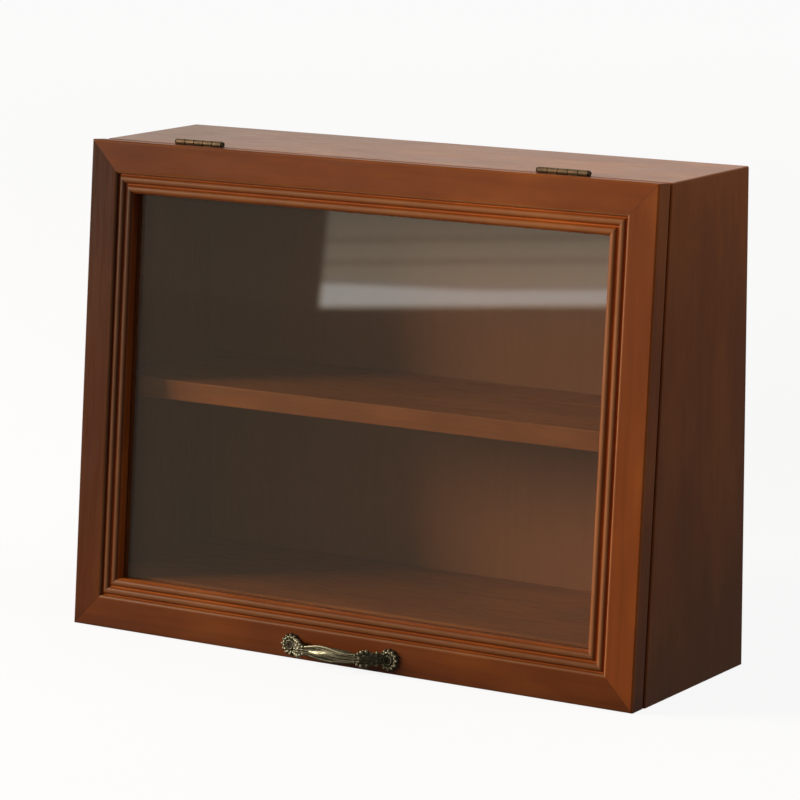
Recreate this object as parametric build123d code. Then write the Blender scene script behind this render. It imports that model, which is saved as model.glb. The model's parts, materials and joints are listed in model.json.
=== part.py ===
"""Countertop display cabinet with a leaning glazed front, as separate pieces.

Millimetres. X runs across the cabinet, to the right seen from the front. Y runs from the front to the
back and Z runs up. The origin is on the base plane, at the centre of the whole outline, handle included.

The pieces are modelled in a working frame whose origin is the foot of the door's face, and are moved to
the final frame when they are written. The door and what lines up with it are drawn in the door's own
frame, where y is the depth behind the face and z is the height up the face.
"""

from build123d import *
import os
from math import cos, pi, radians, sin, tan

# Overall size, taken at the door's face and the base plane
cabinet_width = 450.0
carcass_height = 338.5
base_depth = 152.0
front_lean_deg = 5.0
edge_ease = 1.2

# Boards of the case
side_thickness = 15.0
top_thickness = 15.0
floor_thickness = 15.0
floor_top_height = 36.0
plinth_thickness = 15.0
back_thickness = 4.0
back_rebate_width = 7.0
back_panel_clearance = 0.3
back_panel_lift = 2.0

# Shelf and its pins
shelf_thickness = 14.0
shelf_top_height = 174.5
shelf_front_setback = 3.5
shelf_side_clearance = 0.5
shelf_edge_ease = 0.8
shelf_pin_radius = 2.5
shelf_pin_depth = 8.0
shelf_pin_reach = 10.0
shelf_pin_inset = 22.0
shelf_spade_width = 9.0
shelf_spade_thickness = 1.6

# Hidden joints of the case
dowel_radius = 3.0
dowel_in_side = 8.0
dowel_in_board = 11.0
dowel_edge_distance = 26.0
case_spline_thickness = 3.0
case_spline_width = 10.0
case_spline_length = 80.0
case_spline_from_corner = 14.5

# Door frame: flat band rounded down to a groove, two round reeds, then the lip in front of the glass
door_thickness = 15.0
door_gap = 2.0
door_base_clearance = 0.5
member_width = 35.8
flat_width = 20.4
groove_depth = 2.4
reed_radius = 3.1
reed_pitch = 6.4
reed_drop = 0.6
door_edge_ease = 1.4
door_spline_thickness = 3.0
door_spline_length = 20.0
door_spline_width = 12.0
door_spline_from_corner = 17.0

# Glass and glazing
glass_depth = 8.0
glass_thickness = 3.0
glazing_rebate_width = 7.0
glass_edge_clearance = 0.5
bead_ease = 1.2
glazing_pin_radius = 0.5
glazing_pin_length = 11.0
glazing_pin_end_distance = 60.0

# Hinges
hinge_length = 38.0
hinge_centre_from_end = 80.0
knuckle_radius = 2.1
knuckle_count = 5
knuckle_end_clearance = 0.3
hinge_axis_rise = 1.9
knuckle_side_clearance = 0.35
hinge_pin_radius = 1.2
hinge_pin_head_radius = 1.7
hinge_pin_head_height = 0.9
leaf_thickness = 0.9
leaf_drop = 12.0
leaf_screw_spacing = 24.0
leaf_screw_drop = 7.0
running_clearance = 0.05

# Bumper pads
bumper_radius = 4.0
bumper_height_up_door = 14.0
bumper_clearance = 0.3

# Handle
handle_pitch = 79.0
handle_height_up_door = 9.7
rosette_radius = 6.0
rosette_thickness = 2.2
petal_count = 10
petal_radius = 1.8
petal_thickness = 2.9
boss_radius = 3.6
boss_thickness = 3.4
bow_projection = 13.0
bow_half_height = 5.0
bow_half_thickness = 2.2
bow_foot_inset = 4.0
bow_shoulder_inset = 13.0
bow_bend_radius = 9.0
bud_radius = 4.2
bud_half_length = 14.0
leaf_radius = 3.5
leaf_half_length = 8.0
leaf_offset = 24.0

# Screws: head radius, head height, shank radius, length
fit_clearance = 0.05
screw_tip_length = 2.0
screw_tip_radius = 0.25
recess_width = 0.6
recess_depth = 0.6
recess_share = 0.62
leaf_screw = (2.3, 1.4, 1.1, 11.0)
back_screw = (2.8, 1.7, 1.4, 16.0)
handle_screw = (2.4, 1.5, 1.3, 12.0)

# Worked out from the sizes above
lean = radians(front_lean_deg)
half_width = cabinet_width / 2
inner_half_width = half_width - side_thickness
floor_under = floor_top_height - floor_thickness
back_inner_y = base_depth - back_thickness
carcass_plane_depth = door_thickness + door_gap
door_face_top = carcass_height + door_thickness * sin(lean)
door_height = (door_face_top - door_base_clearance) / cos(lean)
hinge_axis_depth = door_thickness + door_gap / 2
hinge_axis_up = door_height + hinge_axis_rise
hinge_x_places = (hinge_centre_from_end - half_width, half_width - hinge_centre_from_end)
rebate_edge = member_width - glazing_rebate_width
glass_back_depth = glass_depth + glass_thickness
shelf_under = shelf_top_height - shelf_thickness
handle_x_places = (-handle_pitch / 2, handle_pitch / 2)

# Turns the door's own frame into the working frame
door_place = Pos(0, door_base_clearance * tan(lean), door_base_clearance) * Rot(-front_lean_deg, 0, 0)


def front_y(height):
    """Where the case's leaning front plane stands at a height."""
    return carcass_plane_depth / cos(lean) + height * tan(lean)


shelf_front_y = front_y(shelf_top_height) + shelf_front_setback
shelf_back_y = back_inner_y - shelf_side_clearance
shelf_pin_y_places = (shelf_front_y + shelf_pin_inset, shelf_back_y - shelf_pin_inset)


# Basic solids


def block(x_span, y_span, z_span):
    """A box between three pairs of limits."""
    size = (x_span[1] - x_span[0], y_span[1] - y_span[0], z_span[1] - z_span[0])
    return Pos(x_span[0], y_span[0], z_span[0]) * Box(*size, align=(Align.MIN, Align.MIN, Align.MIN))


def prism_along_x(outline_yz, x_span):
    """A closed outline in the YZ plane, carried along X."""
    wire = Polyline(*[(x_span[0], y, z) for y, z in outline_yz], close=True)
    return extrude(make_face(wire), amount=x_span[1] - x_span[0], dir=(1, 0, 0))


def prism_along_y(outline_xz, y_span):
    """A closed outline in the XZ plane, carried along Y."""
    wire = Polyline(*[(x, y_span[0], z) for x, z in outline_xz], close=True)
    return extrude(make_face(wire), amount=y_span[1] - y_span[0], dir=(0, 1, 0))


def rod(start, direction, radius, length):
    """A round bar from a point along a direction."""
    bar = Cylinder(radius, length, align=(Align.CENTER, Align.CENTER, Align.MIN))
    return Plane(origin=start, z_dir=direction) * bar


def join(pieces):
    """One solid from pieces that overlap or touch."""
    pieces = list(pieces)
    return pieces[0].fuse(*pieces[1:]) if len(pieces) > 1 else pieces[0]


def without(solid, cutters):
    """A solid with every cutter taken out of it."""
    for cutter in cutters:
        solid = solid - cutter
    return solid


def screw(head_point, direction, sizes):
    """A countersunk screw with a pointed tip and a crossed recess. Its head's face is at the head point."""
    head_radius, head_height, shank_radius, length = sizes
    outline = Polyline(
        (0, 0, 0),
        (head_radius, 0, 0),
        (shank_radius, 0, head_height),
        (shank_radius, 0, length - screw_tip_length),
        (screw_tip_radius, 0, length),
        (0, 0, length),
        close=True,
    )
    body = revolve(make_face(outline), Axis.Z)
    reach = head_radius * recess_share
    for arm in ((reach, recess_width / 2), (recess_width / 2, reach)):
        body = body - block((-arm[0], arm[0]), (-arm[1], arm[1]), (-1, recess_depth))
    return Plane(origin=head_point, z_dir=direction) * body


def screw_hole(head_point, direction, sizes):
    """The hole that a screw needs, open at its head."""
    head_radius, head_height, shank_radius, length = sizes
    outline = Polyline(
        (0, 0, -1),
        (head_radius + fit_clearance, 0, -1),
        (head_radius + fit_clearance, 0, 0),
        (shank_radius + fit_clearance, 0, head_height + fit_clearance),
        (shank_radius + fit_clearance, 0, length + fit_clearance),
        (0, 0, length + fit_clearance),
        close=True,
    )
    return Plane(origin=head_point, z_dir=direction) * revolve(make_face(outline), Axis.Z)


# Hidden dowels, pins and splines of the case, with their holes


def dowel_places():
    """Where each dowel crosses an inner side face: side, y and z."""
    floor_mid = floor_under + floor_thickness / 2
    plinth_mid = floor_under / 2
    front_mid = front_y(plinth_mid) + plinth_thickness / 2
    rear_mid = back_inner_y - plinth_thickness / 2
    for side in (-1, 1):
        yield side, front_y(floor_mid) + dowel_edge_distance, floor_mid
        yield side, back_inner_y - dowel_edge_distance, floor_mid
        yield side, front_mid, plinth_mid
        yield side, rear_mid, plinth_mid


def case_dowels(extra):
    """Every dowel, grown by a clearance when it is used as its own hole."""
    length = dowel_in_side + dowel_in_board + 2 * extra
    for side, y, z in dowel_places():
        start = (side * (inner_half_width + dowel_in_side + extra), y, z)
        yield rod(start, (-side, 0, 0), dowel_radius + extra, length)


def case_splines(extra):
    """The spline in each top mitre, square to the mitre and near its inner corner."""
    centre_in = case_spline_from_corner / 2**0.5
    mid_y = (front_y(carcass_height) + back_inner_y) / 2
    thickness = case_spline_thickness + 2 * extra
    width = case_spline_width + 2 * extra
    for side in (-1, 1):
        spline = Box(width, case_spline_length + 2 * extra, thickness)
        yield Pos(side * (half_width - centre_in), mid_y, carcass_height - centre_in) * Rot(0, -45 * side, 0) * spline


def shelf_pin_holes():
    """The blind holes of the shelf pins in both sides."""
    for side in (-1, 1):
        for y in shelf_pin_y_places:
            start = (side * (inner_half_width - 1), y, shelf_under - shelf_pin_radius)
            yield rod(start, (side, 0, 0), shelf_pin_radius + fit_clearance, shelf_pin_depth + 1 + fit_clearance)


# Case boards


def case_outline():
    """The case's outer form, with its arrises eased."""
    outline = [
        (front_y(0), 0),
        (base_depth, 0),
        (base_depth, carcass_height),
        (front_y(carcass_height), carcass_height),
    ]
    body = prism_along_x(outline, (-half_width, half_width))
    upper = body.edges().filter_by(lambda edge: edge.center().Z > 1)
    return fillet(upper, edge_ease)


def mitre_wedge():
    """The room that the top panel takes between its two mitres."""
    outline = [
        (-half_width, carcass_height),
        (half_width, carcass_height),
        (inner_half_width, carcass_height - top_thickness),
        (-inner_half_width, carcass_height - top_thickness),
    ]
    return prism_along_y(outline, (0, base_depth))


def back_recess():
    """What is taken out of the boards for the back panel."""
    reach = inner_half_width + back_rebate_width
    top = carcass_height - top_thickness + back_rebate_width
    return block((-reach, reach), (back_inner_y, base_depth + 1), (-1, top))


def back_screw_points():
    """Where the back panel's screws have their heads."""
    side_x = inner_half_width + back_rebate_width / 2
    top_z = carcass_height - top_thickness + back_rebate_width / 2
    floor_z = floor_under + floor_thickness / 2
    span = carcass_height - top_thickness - floor_top_height
    for side in (-1, 1):
        for share in (0.15, 0.5, 0.85):
            yield (side * side_x, base_depth, floor_top_height + share * span)
        yield (side * inner_half_width / 2, base_depth, top_z)
        yield (side * inner_half_width / 2, base_depth, floor_z)


def back_screw_holes():
    """The holes of the back panel's screws."""
    return [screw_hole(point, (0, -1, 0), back_screw) for point in back_screw_points()]


def make_top_panel():
    """The top board, mitred at both ends, with its front edge leaning like the door."""
    board = case_outline() & mitre_wedge()
    cutters = [back_recess(), *case_splines(fit_clearance), *back_screw_holes()]
    return without(board, [*cutters, *cabinet_leaf_screw_holes()])


def make_side_panel(side):
    """A side board: side is -1 for the left one and 1 for the right one."""
    x_span = sorted((side * inner_half_width, side * half_width))
    board = case_outline() & block(x_span, (0, base_depth), (0, carcass_height))
    cutters = [mitre_wedge(), back_recess(), *case_splines(fit_clearance), *case_dowels(fit_clearance)]
    return without(board, [*cutters, *shelf_pin_holes(), *back_screw_holes()])


def make_floor_board():
    """The raised floor between the sides."""
    outline = [
        (front_y(floor_under), floor_under),
        (back_inner_y, floor_under),
        (back_inner_y, floor_top_height),
        (front_y(floor_top_height), floor_top_height),
    ]
    board = prism_along_x(outline, (-inner_half_width, inner_half_width))
    return without(board, [*case_dowels(fit_clearance), *back_screw_holes()])


def make_front_plinth_rail():
    """The strip that carries the floor board's front edge."""
    back_y = front_y(floor_under) + plinth_thickness
    outline = [(front_y(0), 0), (back_y, 0), (back_y, floor_under), (front_y(floor_under), floor_under)]
    rail = prism_along_x(outline, (-inner_half_width, inner_half_width))
    return without(rail, case_dowels(fit_clearance))


def make_rear_plinth_rail():
    """The strip that carries the floor board's rear edge."""
    x_span = (-inner_half_width, inner_half_width)
    rail = block(x_span, (back_inner_y - plinth_thickness, back_inner_y), (0, floor_under))
    return without(rail, case_dowels(fit_clearance))


def make_back_panel():
    """The thin back, let into the sides and the top."""
    reach = inner_half_width + back_rebate_width - back_panel_clearance
    top = carcass_height - top_thickness + back_rebate_width - back_panel_clearance
    panel = block((-reach, reach), (back_inner_y, base_depth), (back_panel_lift, top))
    return without(panel, back_screw_holes())


def make_shelf():
    """The loose shelf, with its front arrises eased."""
    reach = inner_half_width - shelf_side_clearance
    board = block((-reach, reach), (shelf_front_y, shelf_back_y), (shelf_under, shelf_top_height))
    front_edges = board.edges().filter_by(Axis.X).filter_by(lambda edge: edge.center().Y < shelf_front_y + 1)
    return fillet(front_edges, shelf_edge_ease)


def make_shelf_pins():
    """Four pins, each a round plug with a flat spade under the shelf."""
    for side in (-1, 1):
        for y in shelf_pin_y_places:
            start = (side * (inner_half_width + shelf_pin_depth), y, shelf_under - shelf_pin_radius)
            plug = rod(start, (-side, 0, 0), shelf_pin_radius, shelf_pin_depth + shelf_pin_reach)
            x_span = sorted((side * inner_half_width, side * (inner_half_width - shelf_pin_reach)))
            y_span = (y - shelf_spade_width / 2, y + shelf_spade_width / 2)
            spade = block(x_span, y_span, (shelf_under - shelf_spade_thickness, shelf_under))
            yield plug + spade


# Hinges, drawn in the door's own frame


def knuckle_zones(first):
    """The stretches of a hinge, from its centre, that every second knuckle takes."""
    pitch = hinge_length / knuckle_count
    for index in range(first, knuckle_count, 2):
        start = index * pitch - hinge_length / 2
        yield start + knuckle_end_clearance, start + pitch - knuckle_end_clearance


def leaf_screw_points(depth):
    """Head points of the screws of both hinges' leaves at one depth."""
    for hinge_x in hinge_x_places:
        for offset in (-leaf_screw_spacing / 2, leaf_screw_spacing / 2):
            yield (hinge_x + offset, depth, door_height - leaf_screw_drop)


def leaf_face_depth(on_door):
    """The depth of a leaf's face that looks at the other leaf."""
    return door_thickness + leaf_thickness if on_door else carcass_plane_depth - leaf_thickness


def leaf_screw_direction(on_door):
    """Which way a leaf's screws run."""
    return (0, -1, 0) if on_door else (0, 1, 0)


def leaf_holes(on_door):
    """Holes of the leaf screws on the door's or on the cabinet's side, in the door's own frame."""
    for point in leaf_screw_points(leaf_face_depth(on_door)):
        yield screw_hole(point, leaf_screw_direction(on_door), leaf_screw)


def cabinet_leaf_screw_holes():
    """Those holes of the cabinet's side, in the working frame."""
    return [door_place * hole for hole in leaf_holes(False)]


def make_hinge_leaf(hinge_x, on_door):
    """One leaf: a plate against its board and every second knuckle of the barrel."""
    near, far = sorted((leaf_face_depth(on_door), door_thickness if on_door else carcass_plane_depth))
    bottom = door_height - leaf_drop
    plate_top = hinge_axis_up - knuckle_radius - knuckle_side_clearance
    x_span = (hinge_x - hinge_length / 2, hinge_x + hinge_length / 2)
    parts = [block(x_span, (near, far), (bottom, plate_top))]
    for start, end in knuckle_zones(1 if on_door else 0):
        axis_point = (hinge_x + start, hinge_axis_depth, hinge_axis_up)
        parts.append(block((hinge_x + start, hinge_x + end), (near, far), (bottom, hinge_axis_up)))
        parts.append(rod(axis_point, (1, 0, 0), knuckle_radius, end - start))
    bore_start = (x_span[0] - 1, hinge_axis_depth, hinge_axis_up)
    bore = rod(bore_start, (1, 0, 0), hinge_pin_radius + running_clearance, hinge_length + 2)
    return door_place * without(join(parts), [bore, *leaf_holes(on_door)])


def make_hinge_pin(hinge_x):
    """The pin through a barrel, with a small head at each end."""
    start = hinge_x - hinge_length / 2
    pin = rod((start, hinge_axis_depth, hinge_axis_up), (1, 0, 0), hinge_pin_radius, hinge_length)
    left_head = (start, hinge_axis_depth, hinge_axis_up)
    right_head = (start + hinge_length, hinge_axis_depth, hinge_axis_up)
    heads = [
        rod(left_head, (-1, 0, 0), hinge_pin_head_radius, hinge_pin_head_height),
        rod(right_head, (1, 0, 0), hinge_pin_head_radius, hinge_pin_head_height),
    ]
    return door_place * join([pin, *heads])


def make_leaf_screws(on_door):
    """The four screws of the leaves on one side."""
    for point in leaf_screw_points(leaf_face_depth(on_door)):
        yield door_place * screw(point, leaf_screw_direction(on_door), leaf_screw)


def make_bumper_pads():
    """Two pads on the case's front edges that the closed door comes to rest against."""
    thickness = door_gap - bumper_clearance
    for side in (-1, 1):
        start = (side * (half_width - side_thickness / 2), carcass_plane_depth, bumper_height_up_door)
        yield door_place * rod(start, (0, -1, 0), bumper_radius, thickness)


# Door frame, drawn in the door's own frame


def member_outline():
    """A member's section at x = 0: z runs from the outer edge inwards and y is the depth behind the face."""
    inner_reed = member_width - reed_radius
    outer_reed = inner_reed - reed_pitch
    reed_depth = reed_drop + reed_radius
    half_chord = (reed_radius**2 - (reed_depth - groove_depth) ** 2) ** 0.5
    ease = door_edge_ease
    diagonal = ease * (1 - 0.5**0.5)
    groove = flat_width + groove_depth
    round_in, round_down = groove_depth * 0.5**0.5, groove_depth * (1 - 0.5**0.5)

    def at(z, y):
        return (0, y, z)

    return [
        ThreePointArc(at(0, ease), at(diagonal, diagonal), at(ease, 0)),
        Line(at(ease, 0), at(flat_width, 0)),
        ThreePointArc(at(flat_width, 0), at(flat_width + round_in, round_down), at(groove, groove_depth)),
        Line(at(groove, groove_depth), at(outer_reed - half_chord, groove_depth)),
        ThreePointArc(
            at(outer_reed - half_chord, groove_depth),
            at(outer_reed, reed_drop),
            at(outer_reed + half_chord, groove_depth),
        ),
        Line(at(outer_reed + half_chord, groove_depth), at(inner_reed - half_chord, groove_depth)),
        ThreePointArc(
            at(inner_reed - half_chord, groove_depth),
            at(inner_reed, reed_drop),
            at(member_width, reed_depth),
        ),
        Line(at(member_width, reed_depth), at(member_width, glass_depth)),
        Line(at(member_width, glass_depth), at(rebate_edge, glass_depth)),
        Line(at(rebate_edge, glass_depth), at(rebate_edge, door_thickness)),
        Line(at(rebate_edge, door_thickness), at(ease, door_thickness)),
        ThreePointArc(
            at(ease, door_thickness),
            at(diagonal, door_thickness - diagonal),
            at(0, door_thickness - ease),
        ),
        Line(at(0, door_thickness - ease), at(0, ease)),
    ]


def bead_outline():
    """A glazing bead's section, in the same frame as a member's."""
    corners = [
        (0, glass_back_depth, rebate_edge),
        (0, glass_back_depth, member_width),
        (0, door_thickness - bead_ease, member_width),
        (0, door_thickness, member_width - bead_ease),
        (0, door_thickness, rebate_edge),
    ]
    return [Polyline(*corners, close=True)]


def mitred_length(outline, length):
    """A section carried along X and mitred at both ends, with its outer edge at z = 0."""
    half = length / 2
    bar = extrude(make_face(outline), amount=length, dir=(1, 0, 0))
    ends = [(-half, 0), (half, 0), (half - member_width, member_width), (member_width - half, member_width)]
    return (Pos(-half, 0, 0) * bar) & prism_along_y(ends, (0, door_thickness))


def member_place(edge):
    """Carries a member drawn as the bottom one to its own edge of the door."""
    return {
        "bottom": Pos(0, 0, 0),
        "top": Pos(0, 0, door_height) * Rot(0, 180, 0),
        "left": Pos(-half_width, 0, door_height / 2) * Rot(0, 90, 0),
        "right": Pos(half_width, 0, door_height / 2) * Rot(0, -90, 0),
    }[edge]


def edge_length(edge):
    """The door's size along one of its edges."""
    return cabinet_width if edge in ("bottom", "top") else door_height


def door_splines(extra):
    """The spline in each corner of the door frame, square to the mitre."""
    centre_in = door_spline_from_corner / 2**0.5
    size = (door_spline_length + 2 * extra, door_spline_thickness + 2 * extra, door_spline_width + 2 * extra)
    for side in (-1, 1):
        for up, z in ((1, centre_in), (-1, door_height - centre_in)):
            place = Pos(side * (half_width - centre_in), door_thickness / 2, z)
            yield place * Rot(0, 45 * side * up, 0) * Box(*size)


def glazing_pins(edge, extra):
    """Two brads through a bead into the frame, along one edge."""
    reach = edge_length(edge) / 2 - member_width - glazing_pin_end_distance
    depth = (glass_back_depth + door_thickness) / 2
    for x in (-reach, reach):
        start = (x, depth, member_width + extra)
        pin = rod(start, (0, 0, -1), glazing_pin_radius + extra, glazing_pin_length + 2 * extra)
        yield member_place(edge) * pin


def handle_screw_points():
    """Where the handle's screws have their heads."""
    for x in handle_x_places:
        yield (x, -boss_thickness, handle_height_up_door)


def handle_screw_holes():
    """The holes of the handle's screws."""
    return [screw_hole(point, (0, 1, 0), handle_screw) for point in handle_screw_points()]


def below_door():
    """What is planed off the door's lower edge, so that it is level with the base plane."""
    reach = 2 * door_thickness
    return block((-cabinet_width, cabinet_width), (-reach, reach), (-reach, door_base_clearance))


def make_member(edge):
    """One mitred member of the door frame."""
    member = member_place(edge) * mitred_length(member_outline(), edge_length(edge))
    cutters = [*door_splines(fit_clearance), *glazing_pins(edge, fit_clearance)]
    if edge == "top":
        cutters += leaf_holes(True)
    if edge == "bottom":
        cutters += handle_screw_holes()
    return without(door_place * without(member, cutters), [below_door()])


def make_bead(edge):
    """One mitred glazing bead."""
    bead = member_place(edge) * mitred_length(bead_outline(), edge_length(edge))
    return door_place * without(bead, glazing_pins(edge, fit_clearance))


def make_glass_pane():
    """The sheet of glass in the door's rebate."""
    inset = rebate_edge + glass_edge_clearance
    x_span = (inset - half_width, half_width - inset)
    return door_place * block(x_span, (glass_depth, glass_back_depth), (inset, door_height - inset))


# Handle, drawn in the door's own frame


def rosette(x):
    """A round plate with petals round it and a raised boss for the screw."""
    centre = (x, 0, handle_height_up_door)
    outwards = (0, -1, 0)
    parts = [rod(centre, outwards, rosette_radius, rosette_thickness)]
    parts.append(rod(centre, outwards, boss_radius, boss_thickness))
    for index in range(petal_count):
        angle = 2 * pi * index / petal_count
        place = (
            x + rosette_radius * cos(angle),
            0,
            handle_height_up_door + rosette_radius * sin(angle),
        )
        parts.append(rod(place, outwards, petal_radius, petal_thickness))
    return join(parts)


def swelling(x, depth, radius, half_length):
    """A smooth swelling along X: half an ellipse turned about its long axis."""
    arc = EllipticalCenterArc((0, 0, 0), half_length, radius, arc_size=180)
    chord = Line((-half_length, 0, 0), (half_length, 0, 0))
    return Pos(x, depth, handle_height_up_door) * revolve(make_face([arc, chord]), Axis.X)


def bow():
    """The bar between the rosettes, with a bud at its middle and a leaf at each shoulder."""
    foot = handle_pitch / 2 - bow_foot_inset
    shoulder = handle_pitch / 2 - bow_shoulder_inset
    z = handle_height_up_door
    corners = [(-foot, 0, z), (-shoulder, -bow_projection, z), (shoulder, -bow_projection, z), (foot, 0, z)]
    path = FilletPolyline(*corners, radius=bow_bend_radius)
    section = Plane(origin=path @ 0, z_dir=path % 0, x_dir=(0, 0, 1)) * Ellipse(bow_half_height, bow_half_thickness)
    bar = sweep(section, path=path)
    swellings = [
        swelling(0, -bow_projection, bud_radius, bud_half_length),
        swelling(-leaf_offset, -bow_projection, leaf_radius, leaf_half_length),
        swelling(leaf_offset, -bow_projection, leaf_radius, leaf_half_length),
    ]
    return join([bar, *swellings])


def make_door_handle():
    """The whole cast handle, with its back flush on the door's face."""
    body = join([bow(), *[rosette(x) for x in handle_x_places]])
    reach = handle_pitch
    behind = block((-reach, reach), (0, reach), (-reach, reach))
    return door_place * without(body, [behind, *handle_screw_holes()])


def make_handle_screws():
    """The two screws through the rosettes."""
    for point in handle_screw_points():
        yield door_place * screw(point, (0, 1, 0), handle_screw)


# Writing the pieces


def all_pieces():
    """Every node's name with its solids, in the working frame."""
    pieces = {
        "top_panel": [make_top_panel()],
        "left_side_panel": [make_side_panel(-1)],
        "right_side_panel": [make_side_panel(1)],
        "floor_board": [make_floor_board()],
        "front_plinth_rail": [make_front_plinth_rail()],
        "rear_plinth_rail": [make_rear_plinth_rail()],
        "back_panel": [make_back_panel()],
        "back_panel_screws": [screw(point, (0, -1, 0), back_screw) for point in back_screw_points()],
        "shelf": [make_shelf()],
        "shelf_pins": list(make_shelf_pins()),
        "case_mitre_splines": list(case_splines(0)),
        "carcass_dowels": list(case_dowels(0)),
        "cabinet_leaf_screws": list(make_leaf_screws(False)),
        "door_leaf_screws": list(make_leaf_screws(True)),
        "bumper_pads": list(make_bumper_pads()),
        "door_top_rail": [make_member("top")],
        "door_bottom_rail": [make_member("bottom")],
        "door_left_stile": [make_member("left")],
        "door_right_stile": [make_member("right")],
        "door_mitre_splines": [door_place * spline for spline in door_splines(0)],
        "glass_pane": [make_glass_pane()],
        "door_handle": [make_door_handle()],
        "handle_screws": list(make_handle_screws()),
    }
    for name, hinge_x in zip(("left", "right"), hinge_x_places):
        pieces[name + "_hinge_cabinet_leaf"] = [make_hinge_leaf(hinge_x, False)]
        pieces[name + "_hinge_door_leaf"] = [make_hinge_leaf(hinge_x, True)]
        pieces[name + "_hinge_pin"] = [make_hinge_pin(hinge_x)]
    edges = ("top", "bottom", "left", "right")
    for edge in edges:
        pieces[edge + "_glazing_bead"] = [make_bead(edge)]
    pieces["glazing_pins"] = [door_place * pin for edge in edges for pin in glazing_pins(edge, 0)]
    return pieces


def main():
    """Writes one STEP file for each node, in the final frame."""
    pieces = all_pieces()
    front = pieces["door_handle"][0].bounding_box().min.Y
    final_place = Pos(0, -(front + base_depth) / 2, 0)
    os.makedirs("parts", exist_ok=True)
    for name, solids in pieces.items():
        placed = [final_place * solid for solid in solids]
        export_step(placed[0] if len(placed) == 1 else Compound(children=placed), f"parts/{name}.step")
    axis = (final_place * door_place * Pos(0, hinge_axis_depth, hinge_axis_up)).position
    print("hinge axis", axis, "frame shift", final_place.position)


main()
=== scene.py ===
"""Looks for a countertop display cabinet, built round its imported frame.

Metres, in the frame's own axes: X across the cabinet, Y from the door to the back, Z up. Sizes of small
detail are written in millimetres and turned to metres where a mesh is made.
"""

import json
import math

import bpy
import numpy as np
from mathutils import Matrix


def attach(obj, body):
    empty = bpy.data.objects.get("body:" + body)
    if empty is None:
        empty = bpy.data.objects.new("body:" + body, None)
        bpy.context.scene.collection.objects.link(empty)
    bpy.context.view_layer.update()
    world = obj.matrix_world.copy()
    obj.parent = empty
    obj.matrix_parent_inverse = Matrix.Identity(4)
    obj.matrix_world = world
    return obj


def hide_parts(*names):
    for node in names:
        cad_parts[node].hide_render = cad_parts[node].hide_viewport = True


bl_info = {
    "name": "Display Cabinet Looks",
    "version": (1, 0, 0),
    "blender": (4, 5, 0),
    "location": "3D View > Sidebar > Cabinet",
    "description": "Gives the display cabinet its stained wood, glass, cast pull, hinges, light and camera",
    "category": "Object",
}

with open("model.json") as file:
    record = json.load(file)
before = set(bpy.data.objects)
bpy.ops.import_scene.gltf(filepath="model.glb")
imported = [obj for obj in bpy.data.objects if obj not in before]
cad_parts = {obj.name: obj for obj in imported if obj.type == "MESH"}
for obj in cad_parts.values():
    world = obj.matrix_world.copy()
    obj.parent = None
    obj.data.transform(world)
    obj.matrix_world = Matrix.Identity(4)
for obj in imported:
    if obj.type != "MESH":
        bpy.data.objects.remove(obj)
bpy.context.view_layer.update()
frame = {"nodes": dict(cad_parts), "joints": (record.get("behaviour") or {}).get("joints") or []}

MM = 0.001

# The door leans back by this much, and these place its face from the hinge's axis
DOOR_LEAN = math.radians(5.0)
HINGE_DEPTH_MM = 16.0
HINGE_UP_MM = 342.503
DOOR_WIDTH_MM = 450.0
DOOR_HEIGHT_MM = 340.603
HANDLE_UP_MM = 9.7
HANDLE_PITCH_MM = 79.0


# Colour, shader and mesh helpers


def linear(hex_colour):
    """An sRGB hex colour as linear red, green, blue and alpha."""
    values = np.array([int(hex_colour[i : i + 2], 16) for i in (1, 3, 5)]) / 255.0
    low = values / 12.92
    high = ((values + 0.055) / 1.055) ** 2.4
    return (*np.where(values <= 0.04045, low, high).tolist(), 1.0)


def add_node(tree, kind, inputs=None, **settings):
    """Adds a node with its settings. An input that is a socket is linked, any other value is set."""
    node = tree.nodes.new(kind)
    for name, value in settings.items():
        setattr(node, name, value)
    for key, value in (inputs or {}).items():
        if isinstance(value, bpy.types.NodeSocket):
            tree.links.new(value, node.inputs[key])
        else:
            node.inputs[key].default_value = value
    return node


def math_node(tree, operation, *values, clamp=False):
    """The result of a Math node on sockets or numbers."""
    inputs = dict(enumerate(values))
    return add_node(tree, "ShaderNodeMath", inputs, operation=operation, use_clamp=clamp).outputs[0]


def times(tree, first, *others):
    """The product of sockets or numbers."""
    for other in others:
        first = math_node(tree, "MULTIPLY", first, other)
    return first


def sum_of(tree, first, *others, clamp=False):
    """The sum of sockets or numbers. A sum of shares is clamped, so that it stays between 0 and 1."""
    for other in others:
        first = math_node(tree, "ADD", first, other, clamp=clamp)
    return first


def apart(tree, first, second):
    """How far apart two values are."""
    return math_node(tree, "ABSOLUTE", math_node(tree, "SUBTRACT", first, second))


def ramp_value(tree, value, low, high, out_low=0.0, out_high=1.0):
    """A smooth step from one value to another between two limits."""
    settings = {"Value": value, "From Min": low, "From Max": high, "To Min": out_low, "To Max": out_high}
    node = add_node(tree, "ShaderNodeMapRange", settings, interpolation_type="SMOOTHSTEP")
    return node.outputs[0]


def mix_colours(tree, share, first, second, blend="MIX"):
    """Two colours mixed by a share."""
    inputs = {0: share, 6: first, 7: second}
    node = add_node(tree, "ShaderNodeMix", inputs, data_type="RGBA", blend_type=blend)
    return node.outputs[2]


def tinted(tree, colour, tint):
    """A colour times another."""
    return mix_colours(tree, 1.0, colour, tint, "MULTIPLY")


def mix_shaders(tree, share, first, second):
    """Two shaders mixed by a share."""
    return add_node(tree, "ShaderNodeMixShader", {0: share, 1: first, 2: second}).outputs[0]


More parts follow.
